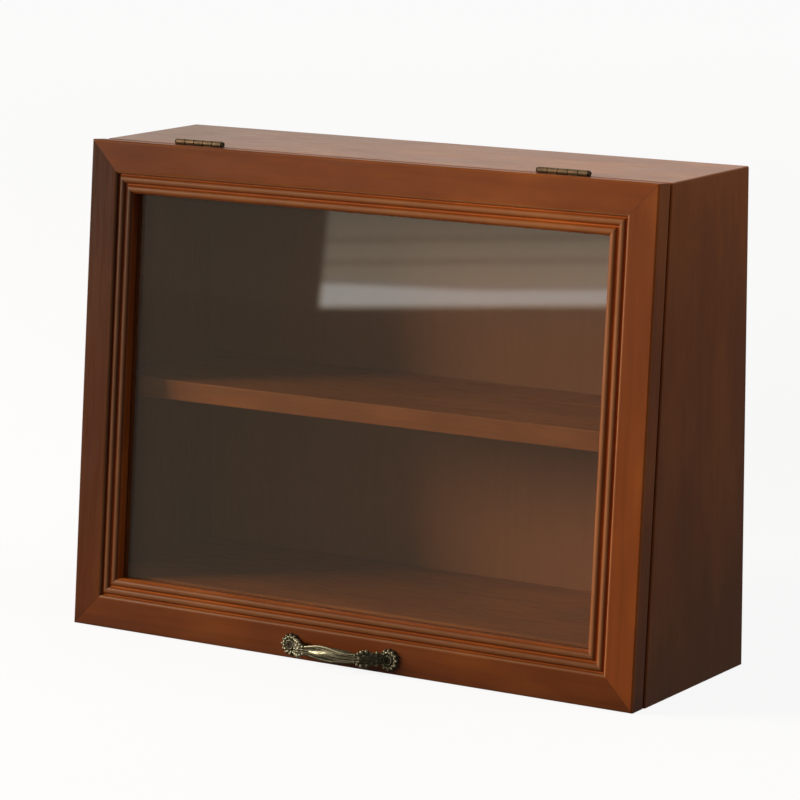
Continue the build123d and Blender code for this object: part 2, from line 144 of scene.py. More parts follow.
def noise(tree, vector, scale, detail=2.0, roughness=0.5, distortion=0.0):
    """A noise value on a vector."""
    inputs = {
        "Vector": vector,
        "Scale": scale,
        "Detail": detail,
        "Roughness": roughness,
        "Distortion": distortion,
    }
    return add_node(tree, "ShaderNodeTexNoise", inputs).outputs[0]


def object_place(tree):
    """Where a point lies in the frame, in metres: every piece has its origin at the frame's."""
    return add_node(tree, "ShaderNodeTexCoord").outputs["Object"]


def parts_of(tree, vector):
    """The three parts of a vector."""
    return add_node(tree, "ShaderNodeSeparateXYZ", {0: vector}).outputs


def turned_place(tree, turn, shift_mm):
    """A point's place in millimetres, turned and then shifted."""
    inputs = {
        "Vector": object_place(tree),
        "Rotation": turn,
        "Location": shift_mm,
        "Scale": (1 / MM, 1 / MM, 1 / MM),
    }
    return add_node(tree, "ShaderNodeMapping", inputs).outputs[0]


def empty_material(name):
    """A material without nodes, and its node tree."""
    material = bpy.data.materials.new(name)
    material.use_nodes = True
    material.node_tree.nodes.clear()
    return material, material.node_tree


def new_material(name, **values):
    """A material with a Principled shader whose sockets are set by name, and its node tree."""
    material, tree = empty_material(name)
    shader = add_node(tree, "ShaderNodeBsdfPrincipled", values)
    add_node(tree, "ShaderNodeOutputMaterial", {"Surface": shader.outputs[0]})
    return material, tree, shader


def replace_surface(tree, surface):
    """Feeds the material's output from another shader."""
    output = next(node for node in tree.nodes if node.type == "OUTPUT_MATERIAL")
    tree.links.new(surface, output.inputs["Surface"])


def link(tree, value, shader, socket):
    """Feeds a shader's socket."""
    tree.links.new(value, shader.inputs[socket])


def bump(tree, shader, height, distance_mm, strength=1.0):
    """Feeds the shader's normal from a height from 0 to 1 that stands for a depth in millimetres."""
    inputs = {"Height": height, "Distance": distance_mm * MM, "Strength": strength}
    link(tree, add_node(tree, "ShaderNodeBump", inputs).outputs[0], shader, "Normal")


def finish_node(name, material):
    """Gives a CAD node one material."""
    if name not in frame["nodes"]:
        raise RuntimeError("the frame has no node named " + name)
    mesh = frame["nodes"][name].data
    mesh.materials.clear()
    mesh.materials.append(material)


def door_points(points_mm):
    """Points in the door's own frame turned to the shared frame. Their parts are the place across, the
    depth behind the face and the height up it, in millimetres."""
    across, depth, up = (points_mm[..., i] * MM for i in range(3))
    axis = frame["joints"][0]["pos_m"]
    depth = depth - HINGE_DEPTH_MM * MM
    up = up - HINGE_UP_MM * MM
    y = axis[1] + depth * math.cos(DOOR_LEAN) + up * math.sin(DOOR_LEAN)
    z = axis[2] - depth * math.sin(DOOR_LEAN) + up * math.cos(DOOR_LEAN)
    return np.stack((across, y, z), axis=-1)


def signed_volume(points, quads, fans):
    """The volume inside faces, negative when they point inwards."""
    triangles = np.concatenate((quads[:, [0, 1, 2]], quads[:, [0, 2, 3]], fans))
    a, b, c = (points[triangles[:, i]] for i in range(3))
    return float(np.einsum("ij,ij->i", a - points[0], np.cross(b - points[0], c - points[0])).sum() / 6)


def new_object(name, data):
    """An object in the scene, from a mesh, a lamp or a camera."""
    made = bpy.data.objects.new(name, data)
    bpy.context.scene.collection.objects.link(made)
    return made


def shell_faces(points, rows, around):
    """Quads between rings and a fan at each end, turned outwards. The end points come first and last."""
    index = 1 + np.arange(rows * around).reshape(rows, around)
    beside = np.roll(index, -1, axis=1)
    quads = np.stack((index[:-1], beside[:-1], beside[1:], index[1:]), axis=-1).reshape(-1, 4)
    first = np.zeros(around, int)
    last = np.full(around, len(points) - 1)
    near_fan = np.stack((first, beside[0], index[0]), axis=-1)
    far_fan = np.stack((last, index[-1], beside[-1]), axis=-1)
    fans = np.concatenate((near_fan, far_fan))
    if signed_volume(points, quads, fans) < 0:
        quads, fans = quads[:, ::-1], fans[:, ::-1]
    return quads, fans


def shells_object(name, shells):
    """One mesh of closed skins. Each skin is a pair: rings of points, as rows by points round by xyz, of
    which the first and the last close to one point, and a relief value for each of those points."""
    points, relief, faces = [], [], []
    count = 0
    for rings, values in shells:
        rows, around = rings.shape[0] - 2, rings.shape[1]
        skin = np.concatenate((rings[:1].mean(1), rings[1:-1].reshape(-1, 3), rings[-1:].mean(1)))
        shade = np.concatenate((values[:1].mean(1), values[1:-1].ravel(), values[-1:].mean(1)))
        quads, fans = shell_faces(skin, rows, around)
        faces += (quads + count).tolist() + (fans + count).tolist()
        points.append(skin)
        relief.append(shade)
        count += len(skin)
    mesh = bpy.data.meshes.new(name)
    mesh.from_pydata(np.concatenate(points).tolist(), [], faces)
    mesh.polygons.foreach_set("use_smooth", np.ones(len(mesh.polygons), bool))
    attribute = mesh.attributes.new("relief", "FLOAT", "POINT")
    attribute.data.foreach_set("value", np.concatenate(relief).astype(np.float32))
    return new_object(name, mesh)


def step(value, low, high):
    """Rises smoothly from 0 at low to 1 at high, or falls where high is the smaller."""
    share = np.clip((value - low) / (high - low), 0, 1)
    return share * share * (3 - 2 * share)


def hump(value, centre, width):
    """A bell of height 1."""
    return np.exp(-(((value - centre) / width) ** 2))


# What a user may change


def colour_setting(name, description, hex_colour):
    """A colour that a user may change."""
    limits = {"size": 4, "min": 0, "max": 1}
    start = linear(hex_colour)
    return bpy.props.FloatVectorProperty(
        name=name, description=description, subtype="COLOR", default=start, **limits
    )


class CabinetWood(bpy.types.PropertyGroup):
    """Colours and figure of the wood."""

    stain: colour_setting("Stain", "Red-brown stain on the case and the door frame", "#8C4718")
    # The dark stain also paints shade on the door's outer sides
    dark_stain_and_shade: colour_setting(
        "Dark stain", "Stain where it gathers in the figure, the mitres and the outer sides", "#4A1F0D"
    )
    # The light stain also paints highlights on the reeds' crests and arrises
    light_stain_and_highlight: colour_setting("Light stain", "Stain where it is rubbed thin", "#A96126")
    # The reed crest colour is a painted highlight on the crests of the reeds
    crest: colour_setting("Reed crest", "Dry, greyed lacquer on the crests of the reeds", "#A57A58")
    back: colour_setting("Back", "Stained plywood of the back", "#874D29")
    plain: colour_setting("Bare wood", "Unstained wood of dowels and splines", "#C9A878")
    ring_spacing: bpy.props.FloatProperty(
        name="Ring spacing",
        description="Distance between growth rings on a board's face, in millimetres",
        default=7.0,
        min=1,
        max=40,
    )
    fibre_width: bpy.props.FloatProperty(
        name="Fibre width",
        description="Width of the streaks along the grain, in millimetres",
        default=0.9,
        min=0.1,
        max=5,
    )


class CabinetMetal(bpy.types.PropertyGroup):
    """Colours of the metals and the sizes of the pull."""

    bronze: colour_setting(
        "Rubbed bronze", "Brass-coloured plating where the pull is rubbed bright", "#918E78"
    )
    patina: colour_setting("Patina", "Dark finish in the pull's hollows", "#4B483A")
    brass: colour_setting("Hinge brass", "Aged brass of the hinges", "#83694D")
    petals: bpy.props.IntProperty(
        name="Petals",
        description="Petals round each rosette",
        default=12,
        min=5,
        max=20,
    )
    bow_projection: bpy.props.FloatProperty(
        name="Bow projection",
        description="How far the bow's centreline stands off the door, in millimetres",
        default=13.0,
        min=8,
        max=16,
    )


class CabinetStage(bpy.types.PropertyGroup):
    """Camera, light and floor."""

    lens: bpy.props.FloatProperty(
        name="Lens",
        description="Focal length on a 36 mm sensor, in millimetres",
        default=167.85,
        min=20,
        max=400,
    )
    key_power: bpy.props.FloatProperty(
        name="Key light",
        description="Power of the large soft light at the front left",
        unit="POWER",
        default=195.0,
        min=0,
    )
    fill_power: bpy.props.FloatProperty(
        name="Fill light",
        description="Power of the soft light above",
        unit="POWER",
        default=4.0,
        min=0,
    )
    ambient: bpy.props.FloatProperty(
        name="Ambient",
        description="Strength of the even light from all round",
        default=0.15,
        min=0,
        max=2,
    )
    room: colour_setting("Dim room", "What glass and lacquer mirror in front of the cabinet", "#9B9184")
    card_power: bpy.props.FloatProperty(
        name="Glass card",
        description="Brightness of the card that the glass mirrors, where 1 is white",
        default=5.15,
        min=0,
    )
    background: colour_setting("Background", "Pale background behind the cabinet", "#FAFAFA")


# Wood

# Where the stain's strength along boards that run ALONG the cabinet or UP it starts and ends, in metres.
# Besides the boards' own stain, these strengths paint light and shade.
TONE_ENDS = {"ALONG": (-0.225, 0.225), "UP": (-0.06, 0.36)}
# Painted light on the back: lighter low down and darker high up
BACK_PAINTED_LIGHT = (1.45, 0.92)
BEAD_TONES = (0.8, 0.8)
WOOD_NAME = "stained_lacquered_softwood_"

# How far late wood darkens the stain, where 1 is all the way
LATE_WOOD_DARKNESS = 0.08

# Each ramp here and below is two limits of a value and what it gives at them. These give darkness,
# lightness and roughness from the noises of the figure.
MOTTLE_DARKENS = (0.35, 0.7, 0.24, 0.0)
FIBRE_DARKENS = (0.3, 0.75, 0.07, 0.0)
STREAK_DARKENS = (0.35, 0.7, 0.06, 0.0)
MOTTLE_LIGHTENS = (0.46, 0.7, 0.0, 0.27)
FIBRE_SHEEN = (0.3, 0.7, 0.38, 0.27)

# How much the two ways across a board count in its rings, and the power that thins the late wood's lines
RING_SLANT = (0.45, 0.55)
RING_SHARPNESS = 3.0

# Widths in the figure in millimetres, and how many times longer each part is along the grain. Real fibres
# are a few hundredths of a millimetre wide, so they are drawn as coarse as they need to be to show.
RING_WARP_MM = 28
RING_WARP_REACH_MM = 34.0
RING_STRETCH = 12
MOTTLE_MM = 40
MOTTLE_STRETCH = 2.5
FIBRE_STRETCH = 40
STREAK_MM = 5
STREAK_STRETCH = 60
FLAME_MM = 26
FLAME_STRETCH = 10
FLECK_MM = 0.7
FLECK_STRETCH = 8
# The angle, in radians, that the flame noise winds the veneer's bands through as it goes from 0 to 1
FLAME_TURNS = 46.0

# The door frame's section in millimetres, in from its outer edge and down from its face
ARRIS_AT_MM = 20.8
REEDS_FROM_MM = 21.2
WORN_CORNER_AT_MM = 21.4
CREST_DEPTH_MM = 1.15
GROOVE_DEPTHS_MM = (1.4, 2.35)
WORN_PATCH_MM = 9

# Ramps in millimetres for stain that gathers by the way off a mitre, for darkening towards the door's
# foot, and for painted shade on the door's outer sides by the way in, the depth and the height
MITRE_STAIN = (0.12, 0.5, 0.35, 0.0)
FOOT_DARKENING = (0.0, 16.0, 0.3, 0.0)
SIDE_BY_INWARD = (0.05, 0.4, 1.0, 0.0)
SIDE_BY_DEPTH = (1.0, 3.0, 0.0, 1.0)
SIDE_BY_HEIGHT = (0.0, 300.0, 0.5, 0.2)

# How far the crests of the reeds are rubbed light, and ramps in millimetres for the inner arris, the
# outer edge and the worn corners. On the crests, the arris and the edge this lightness is partly wear
# and partly painted highlight. The last ramp is by the noise of the worn patches.
CREST_RUB_AND_HIGHLIGHT = 0.42
ARRIS_RUB_AND_HIGHLIGHT = (0.1, 1.0, 0.4, 0.0)
EDGE_RUB_AND_HIGHLIGHT = (0.5, 2.0, 0.3, 0.0)
CORNER_BY_ARRIS = (0.6, 1.6, 1.0, 0.0)
CORNER_BY_MITRE = (0.6, 2.4, 0.9, 0.0)
PATCH_RUB = (0.35, 0.6, 0.45, 1.0)

# How far a pale, greyed painted highlight covers the crests by their depth in millimetres, and how dull
# the top of the door is by how far a face looks up and by the way in
CREST_HIGHLIGHT_BY_DEPTH = (0.4, 1.3, 0.45, 0.0)
DULL_BY_UPWARD = (0.3, 0.7, 0.0, 1.0)
DULL_BY_INWARD = (0.4, 0.9, 1.0, 0.0)

# The satin lacquer, and how much of its gloss the dusty upper side of the door loses
LACQUER_IOR = 1.45
LACQUER_ROUGHNESS = 0.32
LACQUER_SPECULAR = 0.22
LACQUERED_FIBRE_MM = 0.03
DULLED_BY = 0.19


def grain_vector(tree, grain, shift_mm=(0.0, 0.0, 0.0), leaning=False):
    """A point's place in millimetres with X along the grain, which runs ALONG the cabinet or UP it. A
    leaning piece has its pattern turned with the door."""
    turn = (DOOR_LEAN if leaning else 0.0, math.pi / 2 if grain == "UP" else 0.0, 0.0)
    return turned_place(tree, turn, shift_mm)


def stretched(tree, vector, along):
    """The grain vector scaled along the grain, so that a pattern runs out into streaks."""
    inputs = {0: vector, 1: (along, 1.0, 1.0)}
    return add_node(tree, "ShaderNodeVectorMath", inputs, operation="MULTIPLY").outputs[0]


def drawn_out(tree, vector, width_mm, stretch, detail, roughness, distortion=0.0):
    """A noise of a width across the grain, so many times longer along it."""
    place = stretched(tree, vector, 1 / stretch)
    return noise(tree, place, 1 / width_mm, detail, roughness, distortion)


def door_section(tree):
    """Where a point of the door frame lies, in millimetres: how far in from the nearest outer edge, how
    deep behind the face, how far off the nearest mitre, and how high up the door."""
    foot = door_points(np.zeros((1, 3)))[0] / MM
    c, s = math.cos(DOOR_LEAN), math.sin(DOOR_LEAN)
    shift = (0.0, -(foot[1] * c - foot[2] * s), -(foot[1] * s + foot[2] * c))
    x, depth, height = parts_of(tree, turned_place(tree, (DOOR_LEAN, 0.0, 0.0), shift))
    from_side = math_node(tree, "SUBTRACT", DOOR_WIDTH_MM / 2, math_node(tree, "ABSOLUTE", x))
    from_middle = apart(tree, height, DOOR_HEIGHT_MM / 2)
    from_end = math_node(tree, "SUBTRACT", DOOR_HEIGHT_MM / 2, from_middle)
    inward = math_node(tree, "MINIMUM", from_side, from_end)
    return inward, depth, apart(tree, from_side, from_end), height


def tone_and_painted_light(tree, grain, tones_and_light):
    """The stain's strength, which runs from one value at a board's left or lower end to the other. Besides
    the boards' own stain, it paints light and shade, such as a board lighter where more light falls.
    """
    x, _, z = parts_of(tree, object_place(tree))
    return ramp_value(tree, z if grain == "UP" else x, *TONE_ENDS[grain], *tones_and_light)


def wood_figure(tree, vector):
    """The figure of a softwood board: its late wood, the stain's mottle, its fibres and its streaks.

    Late wood is a sine of the way across the board plus a noise, raised to a power, so that rings run as
    long ovals with thin dark lines. Mottle, fibres and streaks are noises pulled out along the grain.
    """
    fibre_width = bpy.context.scene.cabinet_wood.fibre_width
    ring_spacing = bpy.context.scene.cabinet_wood.ring_spacing
    figure = stretched(tree, vector, 1 / RING_STRETCH)
    warp = noise(tree, figure, 1 / RING_WARP_MM, 3.0)
    _, y, z = parts_of(tree, figure)
    across = sum_of(tree, times(tree, y, RING_SLANT[0]), times(tree, z, RING_SLANT[1]))
    phase = sum_of(tree, across, times(tree, warp, RING_WARP_REACH_MM))
    wave = math_node(tree, "SINE", times(tree, phase, 2 * math.pi / ring_spacing))
    ring = math_node(tree, "MULTIPLY_ADD", wave, 0.5, 0.5)
    late = math_node(tree, "POWER", ring, RING_SHARPNESS)
    mottle = drawn_out(tree, vector, MOTTLE_MM, MOTTLE_STRETCH, 3.0, 0.55)
    fibre = drawn_out(tree, vector, fibre_width, FIBRE_STRETCH, 2.0, 0.6)
    streak = drawn_out(tree, vector, STREAK_MM, STREAK_STRETCH, 2.0, 0.5)
    return late, mottle, fibre, streak


def frame_wear_and_painted_light(tree, vector):
    """Where the reeded door frame is worn or shaded, as shares over its surface.

    groove is 1 at the bottom of the grooves. dark is stain gathered in the mitres, a darkening towards the
    door's foot, and painted shade on its outer sides, strongest low down. The third share is stain rubbed
    thin on the crests, the arrises and the corners of the mitres, in patches; on the crests and the arrises
    it is also a painted highlight. The fourth is a painted highlight, pale and greyed, on the crests. dull
    is the dusty upper side of the door.
    """
    inward, depth, mitre, height = door_section(tree)
    reeded = math_node(tree, "GREATER_THAN", inward, REEDS_FROM_MM)
    shallow = math_node(tree, "LESS_THAN", depth, CREST_DEPTH_MM)
    groove = times(tree, ramp_value(tree, depth, *GROOVE_DEPTHS_MM), reeded)
    # Painted shade on the door's outer sides, stronger low down, and a darkening towards the door's foot
    outer_side = times(
        tree, ramp_value(tree, inward, *SIDE_BY_INWARD), ramp_value(tree, depth, *SIDE_BY_DEPTH)
    )
    side_shade = ramp_value(tree, height, *SIDE_BY_HEIGHT)
    foot = ramp_value(tree, height, *FOOT_DARKENING)
    shaded = math_node(tree, "MULTIPLY_ADD", outer_side, side_shade, foot)
    dark = sum_of(tree, ramp_value(tree, mitre, *MITRE_STAIN), shaded, clamp=True)
    # Lighter crests, inner arris and outer edge: partly wear, partly painted highlight
    crest = times(tree, reeded, shallow, CREST_RUB_AND_HIGHLIGHT)
    arris = ramp_value(tree, apart(tree, inward, ARRIS_AT_MM), *ARRIS_RUB_AND_HIGHLIGHT)
    edge = times(tree, ramp_value(tree, inward, *EDGE_RUB_AND_HIGHLIGHT), shallow)
    near_arris = ramp_value(tree, apart(tree, inward, WORN_CORNER_AT_MM), *CORNER_BY_ARRIS)
    corner = times(tree, near_arris, ramp_value(tree, mitre, *CORNER_BY_MITRE))
    patches = noise(tree, vector, 1 / WORN_PATCH_MM, 3.0, 0.6)
    rub_and_highlight = math_node(tree, "MAXIMUM", sum_of(tree, crest, arris, edge, clamp=True), corner)
    rub_and_highlight = times(tree, rub_and_highlight, ramp_value(tree, patches, *PATCH_RUB))
    # Painted highlight: a pale, greyed colour on the crests
    crest_highlight = times(tree, ramp_value(tree, depth, *CREST_HIGHLIGHT_BY_DEPTH), reeded)
    normal = add_node(tree, "ShaderNodeNewGeometry").outputs["Normal"]
    upward = ramp_value(tree, parts_of(tree, normal)[2], *DULL_BY_UPWARD)
    dull = times(tree, upward, ramp_value(tree, inward, *DULL_BY_INWARD))
    return groove, dark, rub_and_highlight, crest_highlight, dull


def stained_wood(name, grain, board, tones_and_light=(1.0, 1.0), leaning=False, groove_painted_light=None):
    """Stained and lacquered softwood: close, quiet grain under a red-brown stain and a satin lacquer.

    The eye sees a soft mottle where the stain took unevenly, faint growth rings and fine streaks along
    the grain. Boards take the stain differently, as the strength given for each board sets; that strength
    also paints light and shade, such as a board lighter where more light falls or darker low down. The
    number of the board moves the pattern, so that no two are alike. The members of the door frame brighten
    their grooves by a share, which is painted light, and they show the frame's wear, its painted shade and
    its painted highlights.
    """
    wood = bpy.context.scene.cabinet_wood
    lacquer = {
        "Roughness": LACQUER_ROUGHNESS,
        "IOR": LACQUER_IOR,
        "Specular IOR Level": LACQUER_SPECULAR,
    }
    material, tree, shader = new_material(name, **lacquer)
    # How far the pattern moves along, across and into the board, in millimetres
    shift = (137.0 * board, 61.0 + 23.0 * (board % 5), 34.0 + 17.0 * (board % 3))
    vector = grain_vector(tree, grain, shift, leaning)
    late, mottle, fibre, streak = wood_figure(tree, vector)
    darkness = sum_of(
        tree,
        times(tree, late, LATE_WOOD_DARKNESS),
        ramp_value(tree, mottle, *MOTTLE_DARKENS),
        ramp_value(tree, fibre, *FIBRE_DARKENS),
        ramp_value(tree, streak, *STREAK_DARKENS),
        clamp=True,
    )
    lightness = ramp_value(tree, mottle, *MOTTLE_LIGHTENS)
    tone_and_light = tone_and_painted_light(tree, grain, tones_and_light)
    if groove_painted_light is not None:
        groove, dark, rub_and_highlight, crest_highlight, dull = frame_wear_and_painted_light(tree, vector)
        # Painted light: the grooves are brightened
        tone_and_light = times(tree, tone_and_light, math_node(tree, "MULTIPLY_ADD", groove, groove_painted_light, 1.0))
        # Stain in the mitres, darkening towards the foot and painted shade on the outer sides
        darkness = sum_of(tree, darkness, dark, clamp=True)
        lightness = sum_of(tree, lightness, rub_and_highlight, clamp=True)
        specular = math_node(tree, "MULTIPLY_ADD", dull, -DULLED_BY, LACQUER_SPECULAR)
        link(tree, specular, shader, "Specular IOR Level")
    colour = mix_colours(tree, lightness, wood.stain, wood.light_stain_and_highlight)
    colour = mix_colours(tree, darkness, colour, wood.dark_stain_and_shade)
    if groove_painted_light is not None:
        # Painted highlight on the crests
        colour = mix_colours(tree, crest_highlight, colour, wood.crest)
    link(tree, tinted(tree, colour, tone_and_light), shader, "Base Color")
    link(tree, ramp_value(tree, fibre, *FIBRE_SHEEN), shader, "Roughness")
    # The lacquer leaves the fibres just readable
    bump(tree, shader, sum_of(tree, fibre, times(tree, late, 0.4)), LACQUERED_FIBRE_MM, 0.5)
    return material


def stained_plywood(name):
    """Thin plywood under the same stain: flatter and browner than the boards, with a broad veneer figure.

    Peeled veneer shows flames some 30 mm wide and up to 300 mm long: a sine of a stretched noise.
    """
    wood = bpy.context.scene.cabinet_wood
    surface = {"Roughness": 0.55, "IOR": LACQUER_IOR, "Specular IOR Level": 0.25}
    material, tree, shader = new_material(name, **surface)
    vector = grain_vector(tree, "UP", (410.0, 33.0, 12.0))
    flame = drawn_out(tree, vector, FLAME_MM, FLAME_STRETCH, 4.0, 0.5, 1.2)
    bands = math_node(tree, "SINE", times(tree, flame, FLAME_TURNS))
    fibre = drawn_out(tree, vector, wood.fibre_width, FIBRE_STRETCH, 2.0, 0.6)
    share = math_node(tree, "MULTIPLY_ADD", bands, 0.03, 0.15)
    share = sum_of(tree, share, ramp_value(tree, fibre, 0.3, 0.75, 0.04, 0.0), clamp=True)
    colour = mix_colours(tree, share, wood.back, wood.dark_stain_and_shade)
    # Painted light: the back is lighter low down and darker high up
    link(tree, tinted(tree, colour, tone_and_painted_light(tree, "UP", BACK_PAINTED_LIGHT)), shader, "Base Color")
    return material


def bare_wood(name):
    """Beech dowel stock, unstained: pale, fine and even, with short, narrow, darker flecks."""
    wood = bpy.context.scene.cabinet_wood
    surface = {"Roughness": 0.65, "IOR": LACQUER_IOR, "Specular IOR Level": 0.25}
    material, tree, shader = new_material(name, **surface)
    vector = grain_vector(tree, "ALONG")
    fleck = drawn_out(tree, vector, FLECK_MM, FLECK_STRETCH, 2.0, 0.6)
    share = ramp_value(tree, fleck, 0.45, 0.7, 0.0, 0.35)
    link(tree, mix_colours(tree, share, wood.plain, wood.back), shader, "Base Color")
    bump(tree, shader, fleck, 0.02, 0.5)
    return material


class CABINET_OT_case(bpy.types.Operator):
    """Finishes the boards of the case, its back, and the hidden dowels and splines"""

    bl_idname = "cabinet.case"
    bl_label = "Case Boards"

    def execute(self, context):
        # The strengths paint light and shade as well as stain: the top lighter, the side panels darker low
        # down, and the floor board and the shelf lighter to the right, where more light falls.
        boards = {
            "top_panel": ("ALONG", (1.4, 1.6)),
            "left_side_panel": ("UP", (0.5, 1.0)),
            "right_side_panel": ("UP", (0.5, 1.0)),
            "floor_board": ("ALONG", (1.0, 1.3)),
            "front_plinth_rail": ("ALONG", (1.0, 1.0)),
            "rear_plinth_rail": ("ALONG", (1.0, 1.0)),
            "shelf": ("ALONG", (1.15, 1.3)),
        }
        for number, (name, (grain, tones_and_light)) in enumerate(boards.items(), 1):
            finish_node(name, stained_wood(WOOD_NAME + name, grain, number, tones_and_light))
        finish_node("back_panel", stained_plywood("stained_plywood"))
        hidden = bare_wood("bare_beech")
        for name in ("case_mitre_splines", "carcass_dowels", "door_mitre_splines"):
            finish_node(name, hidden)
        return {"FINISHED"}


class CABINET_OT_door_frame(bpy.types.Operator):
    """Finishes the reeded door frame and the beads behind its glass"""

    bl_idname = "cabinet.door_frame"
    bl_label = "Door Frame"

    def execute(self, context):
        # The strengths are partly the boards' own stain and partly painted light and shade: the left stile
        # and the bottom rail darker, the right stile and the right of the top rail lighter. The last number
        # is painted light that brightens the grooves.
        members = {
            "door_top_rail": ("ALONG", (0.93, 1.22), 0.9),
            "door_bottom_rail": ("ALONG", (0.68, 0.72), 1.1),
            "door_left_stile": ("UP", (0.5, 0.36), 2.2),
            "door_right_stile": ("UP", (1.24, 1.1), 1.1),
        }
        for number, (name, (grain, tones_and_light, lift)) in enumerate(members.items(), 11):
            finish_node(name, stained_wood(WOOD_NAME + name, grain, number, tones_and_light, True, lift))
        beads = {"top": "ALONG", "bottom": "ALONG", "left": "UP", "right": "UP"}
        for number, (side, grain) in enumerate(beads.items(), 17):
            name = side + "_glazing_bead"
            finish_node(name, stained_wood(WOOD_NAME + name, grain, number, BEAD_TONES, True))
        return {"FINISHED"}


# Glass

# How much of the glass's look is its film of dust
DUST_SHARE = 0.022


def window_glass(name):
    """Plain 3 mm float glass: clear, flat and faintly green, with a mirror-like surface under a thin film
    of dust. Light passes straight through it on its way to the inside."""
    glass = {
        "Base Color": linear("#F2F6F1"),
        "Roughness": 0.02,
        "IOR": 1.52,
        "Transmission Weight": 1.0,
    }
    material, tree, shader = new_material(name, **glass)
    path = add_node(tree, "ShaderNodeLightPath").outputs
    passing = math_node(tree, "MAXIMUM", path["Is Shadow Ray"], path["Is Diffuse Ray"])
    clear = add_node(tree, "ShaderNodeBsdfTransparent", {"Color": linear("#EEF2EC")})
    film = add_node(tree, "ShaderNodeBsdfDiffuse", {"Color": linear("#B08A62")})
    seen = mix_shaders(tree, DUST_SHARE, shader.outputs[0], film.outputs[0])
    replace_surface(tree, mix_shaders(tree, passing, seen, clear.outputs[0]))
    return material


class CABINET_OT_glass(bpy.types.Operator):
    """Finishes the pane"""

    bl_idname = "cabinet.glass"
    bl_label = "Glass Pane"

    def execute(self, context):
        finish_node("glass_pane", window_glass("float_glass"))
        return {"FINISHED"}


# Metal and felt

# Sizes of the finishes' patterns in millimetres. Scratches, grit and felt fibres are finer in life, and
# are drawn as coarse as they need to be to show.
BLOTCH_MM = 6
SCRATCH_MM = 0.3
SCRATCH_STRETCH = 12
GRIT_MM = 0.5
RUBBED_PATCH_MM = 3
ZINC_CLOUD_MM = 1.5
FELT_FIBRE_MM = 0.5


def aged_brass(name, dark_share, dim=1.0):
    """Brass sheet and barrel, plated and left to age: warm and dull, with brown blotches a few
    millimetres wide and fine scratches. The heads of screws carry more patina, and their colour is dimmed
    as painted shade for their depth in the countersinks."""
    metal = bpy.context.scene.cabinet_metal
    material, tree, shader = new_material(name, **{"Metallic": 0.7, "Roughness": 0.5})
    vector = grain_vector(tree, "ALONG")
    blotch = noise(tree, vector, 1 / BLOTCH_MM, 4.0, 0.65)
    scratch = drawn_out(tree, vector, SCRATCH_MM, SCRATCH_STRETCH, 2.0, 0.6)
    share = ramp_value(tree, blotch, 0.38, 0.66, dark_share + 0.45, dark_share)
    colour = mix_colours(tree, share, metal.brass, metal.patina)
    link(tree, tinted(tree, colour, (dim, dim, dim, 1.0)), shader, "Base Color")
    link(tree, ramp_value(tree, blotch, 0.35, 0.7, 0.62, 0.45), shader, "Roughness")
    bump(tree, shader, scratch, 0.02, 0.4)
    return material


def antique_bronze(name):
    """Zinc casting with a bronze plating that was blackened and rubbed back: dark in the hollows, pale
    and brassy on the high spots, with the soft grain of a sand casting. The mesh's relief tells high from
    low, and on the bow, its strands and its right-hand lobes it is also lowered as painted shade."""
    metal = bpy.context.scene.cabinet_metal
    material, tree, shader = new_material(name, **{"Metallic": 0.85, "Roughness": 0.5})
    relief = add_node(tree, "ShaderNodeAttribute", attribute_name="relief").outputs["Fac"]
    vector = grain_vector(tree, "ALONG")
    grit = noise(tree, vector, 1 / GRIT_MM, 2.0, 0.6)
    cloud = noise(tree, vector, 1 / RUBBED_PATCH_MM, 3.0, 0.6)
    patchy = math_node(tree, "MULTIPLY_ADD", cloud, 0.7, -0.35)
    grainy = math_node(tree, "MULTIPLY_ADD", grit, 0.3, -0.15)
    lifted = sum_of(tree, relief, patchy, grainy)
    share = ramp_value(tree, lifted, 0.3, 0.85)
    link(tree, mix_colours(tree, share, metal.patina, metal.bronze), shader, "Base Color")
    link(tree, ramp_value(tree, lifted, 0.3, 0.9, 0.62, 0.42), shader, "Roughness")
    bump(tree, shader, grit, 0.05, 0.5)
    return material


def zinc_steel(name):
    """Zinc-plated steel, bright and slightly cloudy. Its fine turning marks are too small to show."""
    surface = {"Base Color": linear("#B9BABA"), "Metallic": 1.0, "Roughness": 0.35}
    material, tree, shader = new_material(name, **surface)
    cloud = noise(tree, grain_vector(tree, "ALONG"), 1 / ZINC_CLOUD_MM, 3.0, 0.6)
    share = ramp_value(tree, cloud, 0.35, 0.7)
    link(tree, mix_colours(tree, share, linear("#8E9091"), linear("#C4C5C4")), shader, "Base Color")
    link(tree, ramp_value(tree, cloud, 0.35, 0.7, 0.5, 0.3), shader, "Roughness")
    return material


def wool_felt(name):
    """Pressed brown felt: matt and soft."""
    material, tree, shader = new_material(name, **{"Roughness": 0.95, "Sheen Weight": 0.4, "IOR": 1.45})
    fibre = noise(tree, grain_vector(tree, "ALONG"), 1 / FELT_FIBRE_MM, 4.0, 0.7)
    link(tree, mix_colours(tree, fibre, linear("#3A2A20"), linear("#6A5140")), shader, "Base Color")
    bump(tree, shader, fibre, 0.2, 0.8)
    return material


